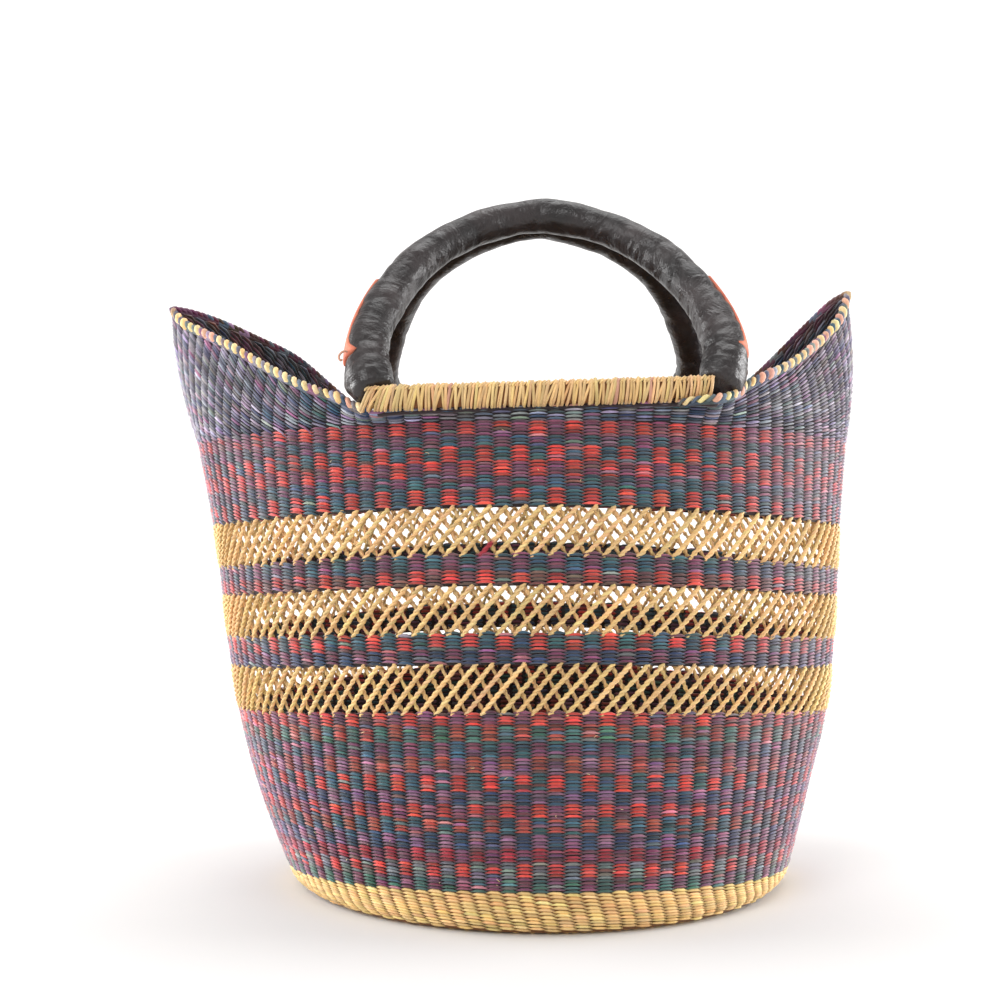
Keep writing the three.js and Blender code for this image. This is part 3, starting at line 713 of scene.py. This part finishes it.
def collarLip():
    # the last row, a little fuller, closes the edge under the rolls
    columns = np.arange(ribTotal) + 0.5
    x = sample(grid, columns, np.full(columns.shape, float(len(grid) - 1)))[:, 0]
    columns = columns[np.abs(x) < lipLook["reach"]]
    u = -np.cos(np.linspace(0, math.pi, 8))[None, :]
    body = (1 - u**2).clip(0, 1)
    ribs = columns[:, None] + lipLook["half"] * u
    lift = lipLook["lift"] - 1.4 * (1 - body) ** 2
    centres, outs = wallPlace(ribs, np.full(ribs.shape, float(len(grid) - 1)), lift - lipLook["out"])
    centres[..., 2] += lipLook["rise"] * body - lipLook["backDrop"]
    names = ("peach", "lilac", "ash", "slate", "plum")
    colours = dyeShades([names[k] for k in rng.randint(0, len(names), len(columns))], 0.2) * 0.8
    lip = strands("collarLip", centres, outs, lipLook["up"] * body**0.6, lipLook["out"] * body**0.6, colours, sides=5)
    # a plain dark cord under each roll fills the slit behind the lip with painted shade
    cords = []
    for quarter in (0, 2):
        low = [rimCurve(q) for q in ((3, 0) if quarter == 0 else (2, 1))]
        path = np.vstack([low[0][::-1], low[1][1:]])
        path = evenPoints(path[np.abs(path[:, 0]) < lipLook["reach"]], np.linspace(0, 1, 60))
        cords.append(path + np.array([0, -np.sign(path[0, 1]) * 1.6, lipLook["cordLift"]]))
    cords = np.stack(cords)
    thick = lipLook["cord"] * np.ones(cords.shape[:2])
    upward = np.broadcast_to(np.array([0, 0, 1.0]), cords.shape)
    return joinMeshes(lip, strands("lipCord", cords, upward, thick, thick, dyeShades(["gapShade"] * 2, 0.1), sides=8))


finishPiece("wingWeave", joinMeshes(wingStitches(False), collarLip()), dyedStraw, ["winged_collar"])
finishPiece("wingWeaveInside", joinMeshes(wingStitches(True), collarBacking()), dyedStraw, [])
print("wings woven")

# openwork

latticeLook = {
    "steps": 2.9, "rings": 22, "ply": 0.95, "twistRadius": 0.75, "turn": 8.0, "front": 0.7, "back": 3.4,
    "backSteps": 1.7, "backRings": 12, "backPly": 0.88, "endBow": 2.4,
    "rustRib": -4,
}


def twistedStrands(name, starts, ends, insets, rings, ply, twist, turn, dyeSets, sides):
    # two plies twisted round each path; starts and ends are ribs and heights
    share = np.linspace(0, 1, rings)[None, :]
    rib = mix(starts[0][:, None], ends[0][:, None], share) + rng.normal(0, 0.05, (len(starts[0]), 1))
    height = mix(starts[1][:, None], ends[1][:, None], share)
    bow = np.abs(2 * share - 1) ** 8 * latticeLook["endBow"]
    path, outs = wallPlace(rib, height / rowStep, -(insets[:, None] + bow))
    along = unit(np.gradient(path, axis=1))
    outs = unit(outs - along * dot(along, outs))
    up = np.cross(outs, along)
    length = np.linalg.norm(np.diff(path, axis=1), axis=2).sum(axis=1)[:, None, None]
    phase = rng.uniform(0, math.tau, (len(path), 1, 1)) + share[..., None] * length / turn * math.tau
    plies = []
    for half in (0, math.pi):
        plies.append(path + (up * np.cos(phase + half) + outs * np.sin(phase + half)) * twist)
    swell = np.exp(rng.normal(0, 0.08, (2 * len(path), 1))) * (1 + np.zeros((1, rings)))
    return strands(name, np.concatenate(plies), np.concatenate([outs, outs]), ply * swell, ply * swell,
                   np.concatenate(dyeSets), sides)


def openBand(name, node, low, high):
    columns = np.arange(ribTotal, dtype=float)
    look = latticeLook
    reach = look["steps"]
    straw = [dyeShades(["straw"] * ribTotal, 0.1) for _ in range(4)]
    straw = [tint[:, None, :].repeat(look["rings" if k < 2 else "backRings"], axis=1) for k, tint in enumerate(straw)]
    if high > bandEdges["upperWall"] - 1:
        for tint in straw[:2]:
            tint[look["rustRib"], :look["rings"] // 3] = dyes["crimson"]
    front = twistedStrands(
        name, (columns, np.full(ribTotal, low - 2.2)), (columns + reach, np.full(ribTotal, high + 2.2)),
        np.full(ribTotal, look["front"]), look["rings"], look["ply"], look["twistRadius"], look["turn"], straw[:2],
        sides=4)
    # painted shade: the rear strands take the straw at 0.95, a little darker than the front ones
    back = twistedStrands(
        name + "Rear", (columns + look["backSteps"] + 0.5, np.full(ribTotal, low - 2.2)), (columns + 0.5, np.full(ribTotal, high + 2.2)),
        np.full(ribTotal, look["back"]), look["backRings"], look["backPly"], look["twistRadius"], look["turn"],
        [tint * 0.95 for tint in straw[2:]], sides=4)
    finishPiece(name, joinMeshes(front, back), naturalStraw, [node])


openBand("latticeLowerStrands", "lattice_lower", 125, 152)
openBand("latticeMiddleStrands", "lattice_middle", 170, 197)
openBand("latticeUpperStrands", "lattice_upper", 215, 242)
print("openwork laid")

# base

baseLook = {
    "pitch": 2.1, "half": 0.66, "arch": 1.2, "up": 1.08, "out": 1.15, "lift": 0.1, "tuck": 1.3,
    "leaf": 0.85, "underPitch": 5.0, "floor": 4.0, "swirl": 0.85, "slant": 0.35,
}


def underRings(inside):
    # rings of stitches that follow the oval, from its edge to the middle
    outline = sample(grid, np.linspace(0, ribTotal, 401), np.full(401, 0.0))[:-1]
    centres, outs, sizes = [], [], []
    rings = 5
    u = -np.cos(np.linspace(0, math.pi, rings))
    pitch = baseLook["underPitch"] * (1.25 if inside else 1)
    count = int(form["baseDepth"] / pitch)
    for k in range(count):
        scale = (k + 0.6) / count * (0.98 if inside else 0.99)
        stitchesRound = max(8, int(ribTotal * scale / 2) * 2)
        middles = (np.arange(stitchesRound) + 0.5 * (k % 2)) / stitchesRound
        at = (middles[:, None] + u[None, :] * 0.6 / stitchesRound) % 1
        spot = sample(outline[None].repeat(2, axis=0), at * ribTotal * 4 / finePerRib, np.zeros(at.shape)) * scale
        body = (1 - u**2).clip(0, 1)
        if inside:
            spot[..., 2] = baseLook["floor"] - 0.9 + 0.9 * body
            out = np.array([0, 0, 1.0])
        else:
            spot[..., 2] = 1.0 + 0.9 * (1 - body)
            out = np.array([0, 0, -1.0])
        centres.append(spot)
        outs.append(np.broadcast_to(out, spot.shape))
        sizes.append(np.full(stitchesRound, pitch * 0.56))
    centres, outs, sizes = np.concatenate(centres), np.concatenate(outs), np.concatenate(sizes)
    if not inside:
        centres = centres[:, ::-1]
    body = (1 - u**2).clip(0, 1)[None, :] ** 0.6
    # painted shade: the rings inside take the straw at eight tenths, the outer ones at 0.95
    colours = dyeShades(["baseStraw"] * len(centres), 0.1) * (0.8 if inside else 0.95)
    # the underside's stitches darken towards their tips with painted shade
    return strands("underside", centres, outs, sizes[:, None] * body, 0.9 * body,
                   colours[:, None, :] * tipPaintedShade(rings, 0.3)[None, :, None])


# painted shade: the shell behind the base's stitches is a dark straw brown, so that the gaps between them read dark
def baseShell():
    def place(u, v):
        # from the middle of the underside out, up the wall, down inside and back over the floor
        turn = v * 8
        ribs = u * ribTotal
        rim = wallPlace(ribs, np.full(u.shape, 1.0 / rowStep), np.full(u.shape, -1.6))[0]
        table = ((0, 0, 1.3), (1, 1, 1.3), (2, 1, 12), (3, 1, 24), (4, 0.994, 24), (5, 0.994, 12),
                 (6, 0.985, 3.2), (7, 0.5, 3.2), (8, 0, 3.2))
        reach = np.interp(turn, [row[0] for row in table], [row[1] for row in table])
        height = np.interp(turn, [row[0] for row in table], [row[2] for row in table])
        wall = wallPlace(ribs, height / rowStep, np.full(u.shape, -1.6))[0]
        spot = np.where(((turn >= 1) & (turn <= 6))[:, None], wall, rim) * np.stack([reach, reach, np.ones(u.shape)], axis=1)
        spot[:, 2] = np.where((turn <= 1.2) | (turn >= 5.8), height, wall[:, 2])
        return spot

    return closedGrid("baseShell", place, ribTotal, 8, dyes["strawGapShade"])


baseRibs, baseHeights = columnRows(1.0, bandEdges["base"], baseLook["pitch"])
baseRibs = baseRibs + baseLook["swirl"] * (1 - baseHeights / bandEdges["base"])
baseWeave = stitches("baseWeave", baseRibs, baseHeights / rowStep, np.full(baseRibs.shape, 1 / rowStep), baseLook,
                     dyeShades(["baseStraw"] * len(baseRibs), 0.1), sideSlant(baseRibs) * 0.6 + baseLook["slant"])
finishPiece("baseWeave", joinMeshes(baseWeave, baseShell()), naturalStraw, ["woven_base"])
inRibs, inHeights = columnRows(baseLook["floor"], bandEdges["base"], innerLook["pitch"])
# painted shade: the stitches inside the base take the straw at eight tenths
baseInside = stitches("baseInside", inRibs, inHeights / rowStep, np.full(inRibs.shape, 1 / rowStep), innerLook,
                      dyeShades(["baseStraw"] * len(inRibs), 0.1) * 0.8, -sideSlant(inRibs), rings=4, inside=True)
finishPiece("baseInside", baseInside, naturalStraw, [])
finishPiece("baseUnderside", joinMeshes(underRings(False), underRings(True)), naturalStraw, [])
print("base woven")

# rim rolls and wing bindings

rollLook = {"height": 16, "depth": 18, "bow": 1.5, "wraps": 104, "thick": 1.0, "wide": 0.94, "slant": 1.0,
            "leftEnd": 8, "rightEnd": 2.5, "oddWraps": 3, "seamTurn": 0.85, "seamLean": 1.6}
rollAxisHeight = form["panelHeight"] + form["clearance"] + rollLook["height"] / 2
rollAxisDepth = form["mouthDepth"] * rimUnderRoll[1][1] - 1.5


def rollCentre(x, facing):
    bow = rollLook["bow"] * (1 - (x / form["rollHalfLength"]) ** 2) / 2
    return np.stack([x, facing * (rollAxisDepth + bow), rollAxisHeight + tiltAt(form["rollTilt"], x)], axis=-1)


def rimRoll(name, node, facing):
    half = form["rollHalfLength"] - 1
    left, right = half + rollLook["leftEnd"], half - rollLook["rightEnd"]
    wraps = rollLook["wraps"]
    rings = 20
    turn = np.linspace(-0.15, math.tau + 0.15, rings)[None, :] - math.pi / 2
    xs = np.linspace(-left, right, wraps)[:, None] + rng.normal(0, 0.22, (wraps, 1))
    lean = rollLook["slant"] * (1 + rng.normal(0, 0.8, (wraps, 1)))
    lean += np.clip((-xs - half + 12) / 12, 0, 1) * 2.5
    x = xs + lean * np.sin(turn) * 1.0 + rng.normal(0, 0.15, (wraps, 1)) * np.sin(2 * turn)
    inward = rollLook["thick"] - rng.normal(0, 0.2, (wraps, 1))
    out = np.stack([np.zeros(x.shape), facing * np.cos(turn) + 0 * x, np.sin(turn) + 0 * x], axis=-1)
    size = np.stack([np.zeros(x.shape), rollLook["depth"] / 2 - inward + 0 * x, rollLook["height"] / 2 - inward + 0 * x], axis=-1)
    centres = rollCentre(x, facing) + out * size
    colours = dyeShades(["straw"] * wraps, 0.1) * 0.88
    colours[rng.randint(0, wraps, rollLook["oddWraps"])] = np.array(dyes["peach"]) * 0.8
    swell = np.exp(rng.normal(0, 0.14, (wraps, 1)))
    mesh = strands(name, centres, out, rollLook["wide"] * swell * np.ones((1, rings)),
                   rollLook["thick"] * np.ones((wraps, rings)), colours, sides=6)
    # a row of short slanted stitches along the upper front
    short = np.linspace(-1, 1, 6)[None, :]
    seamTurn = rollLook["seamTurn"] + 0.3 * short
    seamX = xs + 0.9 + rollLook["seamLean"] * short
    seamOut = np.stack([np.zeros(seamX.shape), facing * np.cos(seamTurn) + 0 * seamX, np.sin(seamTurn) + 0 * seamX], axis=-1)
    seamSize = np.array([0, rollLook["depth"] / 2 - 0.5, rollLook["height"] / 2 - 0.5])
    body = np.sqrt((1 - short**2).clip(0, 1))
    seam = strands(name + "Seam", rollCentre(seamX, facing) + seamOut * seamSize, seamOut, 0.8 * body * np.ones((wraps, 1)),
                   0.8 * body * np.ones((wraps, 1)), colours * 1.04, sides=5)

    def core(u, v):
        xAt = mix(-left, right, v)
        ends = np.where((v == 0) | (v == 1), 0.0, 1.0)
        angle = u * math.tau
        side = np.stack([np.zeros(u.shape), np.cos(angle) * (rollLook["depth"] / 2 - 1.6) * ends,
                         np.sin(angle) * (rollLook["height"] / 2 - 1.6) * ends], axis=1)
        return rollCentre(xAt, facing) + side

    # painted shade: a dark straw-brown core inside the wraps shows as dark gaps between them
    solidCore = closedGrid(name + "Core", core, 16, 8, dyes["strawGapShade"])
    finishPiece(name, joinMeshes(mesh, seam, solidCore), naturalStraw, [node])


rimRoll("rimRollFront", "rim_roll_front", -1)
rimRoll("rimRollBack", "rim_roll_back", 1)

bindingLook = {
    "bump": 1.8, "under": 1.35, "twist": 1.25, "rear": 1.25, "rearTwist": 1.1, "turn": 8.4, "lift": 3.0, "start": 103,
    "filler": 1.7, "fillerLift": 0.9, "rings": 360, "uneven": 0.14, "leadSize": 0.6,
    "rightLead": ((76, -120, 298), (85, -124.5, 299.5), (95, -126, 300.2), (103, -121.5, 301.5), (110, -113, 304),
                  (115.5, -105, 307)), "leadEnd": 117,
}
bumpDyes = ("cream", "cream", "baseStraw", "peach", "cream", "peach", "baseStraw", "cream")


def wingBinding(name, node, side):
    first, second = (0, 1) if side > 0 else (2, 3)
    look, rings = bindingLook, bindingLook["rings"]
    curves = [rimCurve(first), rimCurve(second)[::-1]]
    path = []
    for k, curve in enumerate(curves):
        dense = evenPoints(curve, np.linspace(0, 1, 600))
        path.append(dense[np.abs(dense[:, 0]) > look["leadEnd" if side > 0 and k == 0 else "start"]])
    if side > 0:
        # the front end of the right binding laps over the end of the roll
        path.insert(0, smoothCurve(look["rightLead"], 8))
    path = evenPoints(np.vstack(path), np.linspace(0, 1, rings))
    along = unit(np.gradient(path, axis=0))
    inward = unit(-path * np.array([1, 1, 0]))
    over = unit(np.cross(along, inward))
    over = np.where(over[:, 2:] < 0, -over, over)
    cross = unit(np.cross(over, along))
    base = path + inward * 1.5
    length = np.linalg.norm(np.diff(path, axis=0), axis=1).sum()
    turns = np.linspace(0, length / look["turn"], rings)
    phase = (turns * math.tau * (1 if side > 0 else -1))[:, None]
    front = np.clip(-path[:, 1] / 6 + (0.5 if side > 0 else 0.2), 0, 1)
    twist = mix(look["rearTwist"], look["twist"], front)[:, None]
    middle = base + over * look["lift"]
    plies = [middle + (over * np.cos(phase + h) + cross * np.sin(phase + h)) * twist for h in (0, math.pi)]
    plies.append(base + over * look["fillerLift"])
    # each turn of a strand has a dye of its own
    turn = np.floor(turns + 0.5).astype(int)
    bumps = dyeShades([bumpDyes[k] for k in rng.randint(0, len(bumpDyes), turn.max() + 1)], 0.08)
    quiet = dyeShades([wingDyes[k] for k in rng.randint(0, len(wingDyes), turn.max() + 1)], 0.2)
    rear = dyeShades([("slate", "plum", "ash", "brown", "lilac")[k] for k in rng.randint(0, 5, turn.max() + 1)], 0.3) * 0.75
    share = front[:, None]
    # painted shade: the third ply, the filler under the twisted plies, takes their dyes at a half and six tenths
    colours = np.stack([mix(rear[turn], bumps[turn], share), mix(np.roll(rear, 1, axis=0)[turn], quiet[turn], share),
                        mix(rear[turn] * 0.5, quiet[turn] * 0.6, share)])
    sizes = np.stack([mix(look["rear"], look["bump"], front), mix(look["rear"], look["under"], front),
                      np.full(rings, look["filler"])])
    sizes[:2] *= np.exp(rng.normal(0, look["uneven"], turn.max() + 1)[turn] * front)
    if side > 0:
        lead = np.clip((path[:, 0] - look["rightLead"][0][0]) / 34, 0, 1)
        sizes *= np.where(front > 0.5, mix(look["leadSize"], 1, lead), 1)
    mesh = strands(name, np.stack(plies), np.stack([over] * 3), sizes, sizes, colours, sides=7)
    finishPiece(name, mesh, naturalStraw, [node])


wingBinding("wingBindingLeft", "wing_binding_left", -1)
wingBinding("wingBindingRight", "wing_binding_right", 1)
print("rolls and bindings wound")

# handles

handleLook = {
    "rise": 123.8, "leg": 25, "top": 21.5, "foot": 20, "footTilt": 8, "topGap": 0.6, "around": 40, "along": 200,
    "dent": 0.85, "dentScale": 0.042, "seam": 0.5, "round": 2.5, "rightDrop": 4.0,
}
# front, back, up, thick, slim
handleHalf = np.array([
    (0.93, 0.92, 0.022, 0.45, 0), (0.94, 0.945, 0.045, 1.1, 0), (0.965, 0.99, 0.1, 1.48, 0),
    (0.985, 1.04, 0.175, 1.2, 0), (0.985, 1.055, 0.26, 1.05, 0), (0.955, 1.025, 0.38, 1, 0.05),
    (0.885, 0.955, 0.52, 1, 0.2), (0.765, 0.84, 0.68, 1, 0.45), (0.615, 0.685, 0.805, 1, 0.7),
    (0.43, 0.48, 0.905, 1, 0.9), (0.225, 0.25, 0.97, 1, 1), (0, 0, 1, 1, 1),
])
# place along the leg in mm, depth, width, slant and the side it faces, in turns from the front
creases = (
    (4.5, 0.9, 1.1, 1.5, 0.05), (8, 1.4, 1.2, 3.0, 0.1), (12, 1.1, 1.1, 4.0, 0.02), (16, 1.5, 1.4, 3.5, 0.15),
    (21, 1.0, 1.3, 5.0, -0.05), (26, 1.1, 1.5, 2.0, 0.3), (33, 0.7, 1.6, -3.5, 0.05), (42, 0.6, 2.0, 4.0, 0.45),
    (54, 0.55, 2.0, -5.0, 0.12), (68, 0.5, 2.4, 5.0, -0.1), (86, 0.4, 2.6, -6.0, 0.2), (110, 0.35, 3.0, 6.0, 0.0),
)


def handlePoint(row, side, back):
    x = side * row[1 if back else 0] * form["handleSpan"] / 2
    depth = mix(rollAxisDepth, (handleLook["top"] + handleLook["topGap"]) / 2, row[2])
    up = rollAxisHeight + row[2] * handleLook["rise"] + tiltAt(handleLook["footTilt"], x) * (1 - row[2]) ** 3
    if side > 0:
        up -= handleLook["rightDrop"] * max(0, 1 - row[2] / 0.12)
    return x, depth if back else -depth, up


handleCurves = {}
for isBack in (False, True):
    halfPoints = [handlePoint(row, -1, isBack) for row in handleHalf]
    otherHalf = [handlePoint(row, 1, isBack) for row in handleHalf[:-1][::-1]]
    perSpan = 60
    dense = smoothCurve(halfPoints + otherHalf, perSpan)
    run = np.concatenate([[0], np.cumsum(np.linalg.norm(np.diff(dense, axis=0), axis=1))])
    places = run[::perSpan][:len(handleHalf)] / run[-1]
    handleCurves[isBack] = (dense, run[-1], np.column_stack([places, handleHalf[:, 3:]]))
handleNormals = {}
for isBack in (False, True):
    lean = (handleLook["top"] + handleLook["topGap"]) / 2 - rollAxisDepth
    handleNormals[isBack] = unit(np.cross([1.0, 0, 0], [0, lean if isBack else -lean, handleLook["rise"]]))


def handleAt(share, back):
    # centre, tangent and half thickness at shares of the path
    dense, length, rows = handleCurves[back]
    centre = evenPoints(dense, share)
    ahead = evenPoints(dense, np.clip(share + 0.002, 0, 1)) - evenPoints(dense, np.clip(share - 0.002, 0, 1))
    near = np.where(share <= 0.5, share, 1 - share)
    thick = np.array([readRow(rows, at) for at in near])
    leg = mix(handleLook["foot"], handleLook["leg"], thick[:, 1])
    return centre, unit(ahead), mix(leg, handleLook["top"], thick[:, 2]) / 2


footBulge = {"place": 13, "height": 1.3, "width": 5}


def leatherRelief(distance, angle, side, facing):
    # folds along each leg that gather at the feet, and a bulge on the left foot; the soft dents and the sewn seam on
    # the inner side are added in handle
    relief = 0
    if side < 0:
        relief += footBulge["height"] * max(0, -math.sin(angle)) * math.exp(
            -((distance - footBulge["place"]) / footBulge["width"]) ** 2)
    for place, depth, width, slant, turn in creases:
        place = place * (1 if side < 0 else 1.12) + (0 if side < 0 else 1.5)
        line = distance - place - slant * math.sin(angle - turn * math.tau) * 0.8
        window = 0.35 + 0.65 * max(0, math.cos((angle - turn * math.tau) * 0.5)) ** 2
        relief -= depth * window * math.exp(-(line / width) ** 2)
        relief += depth * 0.45 * window * math.exp(-((line - width * 1.9) / (width * 1.1)) ** 2)
    return relief


def handle(name, node, back):
    facing = 1 if back else -1
    normal = handleNormals[back]
    frontward = normal * np.sign(normal[1]) * facing
    length = handleCurves[back][1]

    def place(u, v):
        capped = np.clip((v - 0.006) / 0.988, 0, 1)
        centre, along, radius = handleAt(capped, back)
        outward = unit(np.cross(along, normal))
        flip = np.sign(dot(outward, np.array([0, 0, 1.0])) + 1e-6)
        outward = outward * np.where(np.abs(capped - 0.5)[:, None] > 0.35, np.sign(outward[:, :1] * (capped - 0.5)[:, None]), flip)
        angle = u * math.tau
        spots = np.empty(centre.shape)
        for i in range(len(u)):
            share = capped[i]
            distance = min(share, 1 - share) * length
            side = -1 if share < 0.5 else 1
            point = centre[i] + (outward[i] * math.cos(angle[i]) + frontward * math.sin(angle[i])) * radius[i]
            soft = noise.noise(Vector(point) * handleLook["dentScale"] + Vector((7 * facing, 3, 1)))
            small = noise.noise(Vector(point) * 0.11 + Vector((2, 9 * facing, 4)))
            bump = handleLook["dent"] * (soft * 1.2 + small * 0.6)
            bump += leatherRelief(distance, angle[i] - math.pi / 2, side, facing)
            bump -= handleLook["seam"] * math.exp(-((1 - math.cos(angle[i] - math.pi)) / 0.01))
            end = math.sqrt(max(0, 1 - max(0, 1 - distance / handleLook["round"]) ** 2))
            reach = (radius[i] + bump * end) * (0.0 if v[i] <= 0 or v[i] >= 1 else max(end, 0.55))
            spots[i] = centre[i] + (outward[i] * math.cos(angle[i]) + frontward * math.sin(angle[i])) * reach
        return spots

    mesh = closedGrid(name, place, handleLook["around"], handleLook["along"])
    finishPiece(name, mesh, darkLeather, [node])


handle("handleFrontLeather", "handle_front", False)
handle("handleBackLeather", "handle_back", True)
print("handles covered")

inlayCut = {"width": 5.5, "arrowWidth": 20, "length": 66, "foot": 1.2, "leftTurn": 0.44, "rightTurn": 0.46,
            "leftBelow": 2.2, "rightBelow": 2.6, "leftAbove": 7.8, "rightAbove": 2.6, "thick": 0.7, "lift": 0.3, "sink": 1.2}


def inlay(name, node, side, back):
    facing = 1 if back else -1
    normal = handleNormals[back]
    frontward = normal * np.sign(normal[1]) * facing
    total = handleCurves[back][1]
    foot = handleCurves[back][2][3][0] - inlayCut["foot"] / total
    hand = "left" if side < 0 else "right"
    arrow = inlayCut[hand + "Below"] / inlayCut["length"]
    shoulder = arrow + inlayCut[hand + "Above"] / inlayCut["length"]
    narrow = inlayCut["width"] / inlayCut["arrowWidth"]
    alongPlaces = (0, arrow, shoulder, 0.45, 0.72, 1)
    widths = (0.55, 1, narrow, narrow, narrow * 0.8, 0.15)

    def place(u, v):
        # u runs over the top of the strip and back under it, v along the leg
        face = np.where(u <= 0.5, u * 2, 2 - u * 2)
        top = (u > 0.02) & (u < 0.48)
        at = np.clip(v, 0, 1)
        width = np.interp(at, alongPlaces, widths)
        share = foot + at * inlayCut["length"] / total
        share = share if side < 0 else 1 - share
        centre, along, radius = handleAt(share, back)
        outward = unit(np.cross(along, normal))
        outward = outward * np.where(outward[:, :1] * side < 0, -1, 1)
        ends = (v <= 0) | (v >= 1)
        high = np.where(top & ~ends, inlayCut["thick"], -inlayCut["sink"])
        reach = radius + inlayCut["lift"] + high
        angle = inlayCut[hand + "Turn"] + side * facing * (face - 0.5) * width * inlayCut["arrowWidth"] / radius
        return centre + outward * (np.cos(angle) * reach)[:, None] + frontward * (np.sin(angle) * reach)[:, None]

    finishPiece(name, closedGrid(name, place, 20, 30), salmonLeather, [node])


inlay("inlayFrontLeft", "inlay_front_left", -1, False)
inlay("inlayFrontRight", "inlay_front_right", 1, False)
inlay("inlayBackLeft", "inlay_back_left", -1, True)
inlay("inlayBackRight", "inlay_back_right", 1, True)
print("inlays laid")

# a loose straw end that curls out beside the left foot
looseStraw = {"points": ((-114, -101, 331), (-117, -103, 332.5), (-119.5, -104, 331.5), (-121, -104, 329),
                         (-120, -104.5, 327), (-118.5, -105, 327.5)), "thick": 0.75}
strawPath = evenPoints(smoothCurve(looseStraw["points"]), np.linspace(0, 1, 18))[None]
strawOut = np.broadcast_to(np.array([0.0, -1, 0]), strawPath.shape)
finishPiece("looseStraw", strands("looseStraw", strawPath, strawOut, looseStraw["thick"], looseStraw["thick"],
                                  np.array([dyes["peach"]]) * 0.8, sides=6), naturalStraw, [])
print("loose straw laid")

# floor, light and camera

studio = {"floorSize": 6.0, "key": 30, "fill": 8, "top": 22, "side": 34, "world": 0.6, "nearGlow": 0.0, "farGlow": 0.5}


def makeStage():
    bm = bmesh.new()
    bmesh.ops.create_grid(bm, x_segments=24, y_segments=60, size=studio["floorSize"])
    bend = 2.2
    radius = 1.2
    for vert in bm.verts:
        past = vert.co.y - bend
        if past > 0:
            turn = min(past / radius, math.pi / 2)
            rest = past - turn * radius
            vert.co.y = bend + radius * math.sin(turn)
            vert.co.z = radius * (1 - math.cos(turn)) + rest
    mesh = bpy.data.meshes.new("studioFloor")
    bm.to_mesh(mesh)
    bm.free()
    mesh.shade_smooth()
    floor = bpy.data.objects.new("studioFloor", mesh)
    bpy.context.scene.collection.objects.link(floor)
    material, tree, shader = newMaterial("floorWhite")
    shader.inputs["Base Color"].default_value = (0.69, 0.685, 0.68, 1)
    shader.inputs["Roughness"].default_value = 0.9
    shader.inputs["Specular IOR Level"].default_value = 0.1
    shader.inputs["Emission Color"].default_value = (1, 0.99, 0.985, 1)
    # the floor glows a little and the backdrop more, so that it stays white behind the basket
    coords = tree.nodes.new("ShaderNodeTexCoord")
    place = tree.nodes.new("ShaderNodeSeparateXYZ")
    glow = tree.nodes.new("ShaderNodeMapRange")
    glow.inputs["From Min"].default_value = 0.1
    glow.inputs["From Max"].default_value = 1.6
    glow.inputs["To Min"].default_value = studio["nearGlow"]
    glow.inputs["To Max"].default_value = studio["farGlow"]
    tree.links.new(coords.outputs["Object"], place.inputs[0])
    tree.links.new(place.outputs["Y"], glow.inputs["Value"])
    tree.links.new(glow.outputs[0], shader.inputs["Emission Strength"])
    mesh.materials.append(material)


def addLight(name, place, target, size, power, colour=(1, 1, 1)):
    light = bpy.data.lights.new(name, "AREA")
    light.shape = "DISK"
    light.size = size
    light.energy = power
    light.color = colour
    lamp = bpy.data.objects.new(name, light)
    lamp.location = place
    lamp.rotation_euler = (Vector(target) - Vector(place)).to_track_quat("-Z", "Y").to_euler()
    bpy.context.scene.collection.objects.link(lamp)


makeStage()
addLight("keyLight", (-1.3, -2.0, 1.9), (0, 0, 0.2), 1.6, studio["key"])
addLight("fillLight", (1.9, -1.6, 1.2), (0, 0, 0.2), 1.8, studio["fill"])
addLight("topLight", (0.2, 0.5, 2.4), (0, 0, 0.2), 2.0, studio["top"])
addLight("leftLight", (-1.7, 0.3, 0.6), (0, 0, 0.2), 1.2, studio["side"])
addLight("rightLight", (1.7, 0.3, 0.6), (0, 0, 0.2), 1.2, studio["side"])
world = bpy.data.worlds.new("studioAir")
world.use_nodes = True
world.node_tree.nodes["Background"].inputs["Color"].default_value = (1, 1, 1, 1)
world.node_tree.nodes["Background"].inputs["Strength"].default_value = studio["world"]
bpy.context.scene.world = world
bpy.context.scene.view_settings.view_transform = "Standard"

camera = bpy.data.objects.new("photoCamera", bpy.data.cameras.new("photoCamera"))
camera.location = (-0.027, -0.9, 0.241)
camera.rotation_euler = (math.pi / 2, 0, 0)
camera.data.lens = 49.18
camera.data.shift_y = 0.008
bpy.context.scene.collection.objects.link(camera)
bpy.context.scene.camera = camera
print("studio ready")
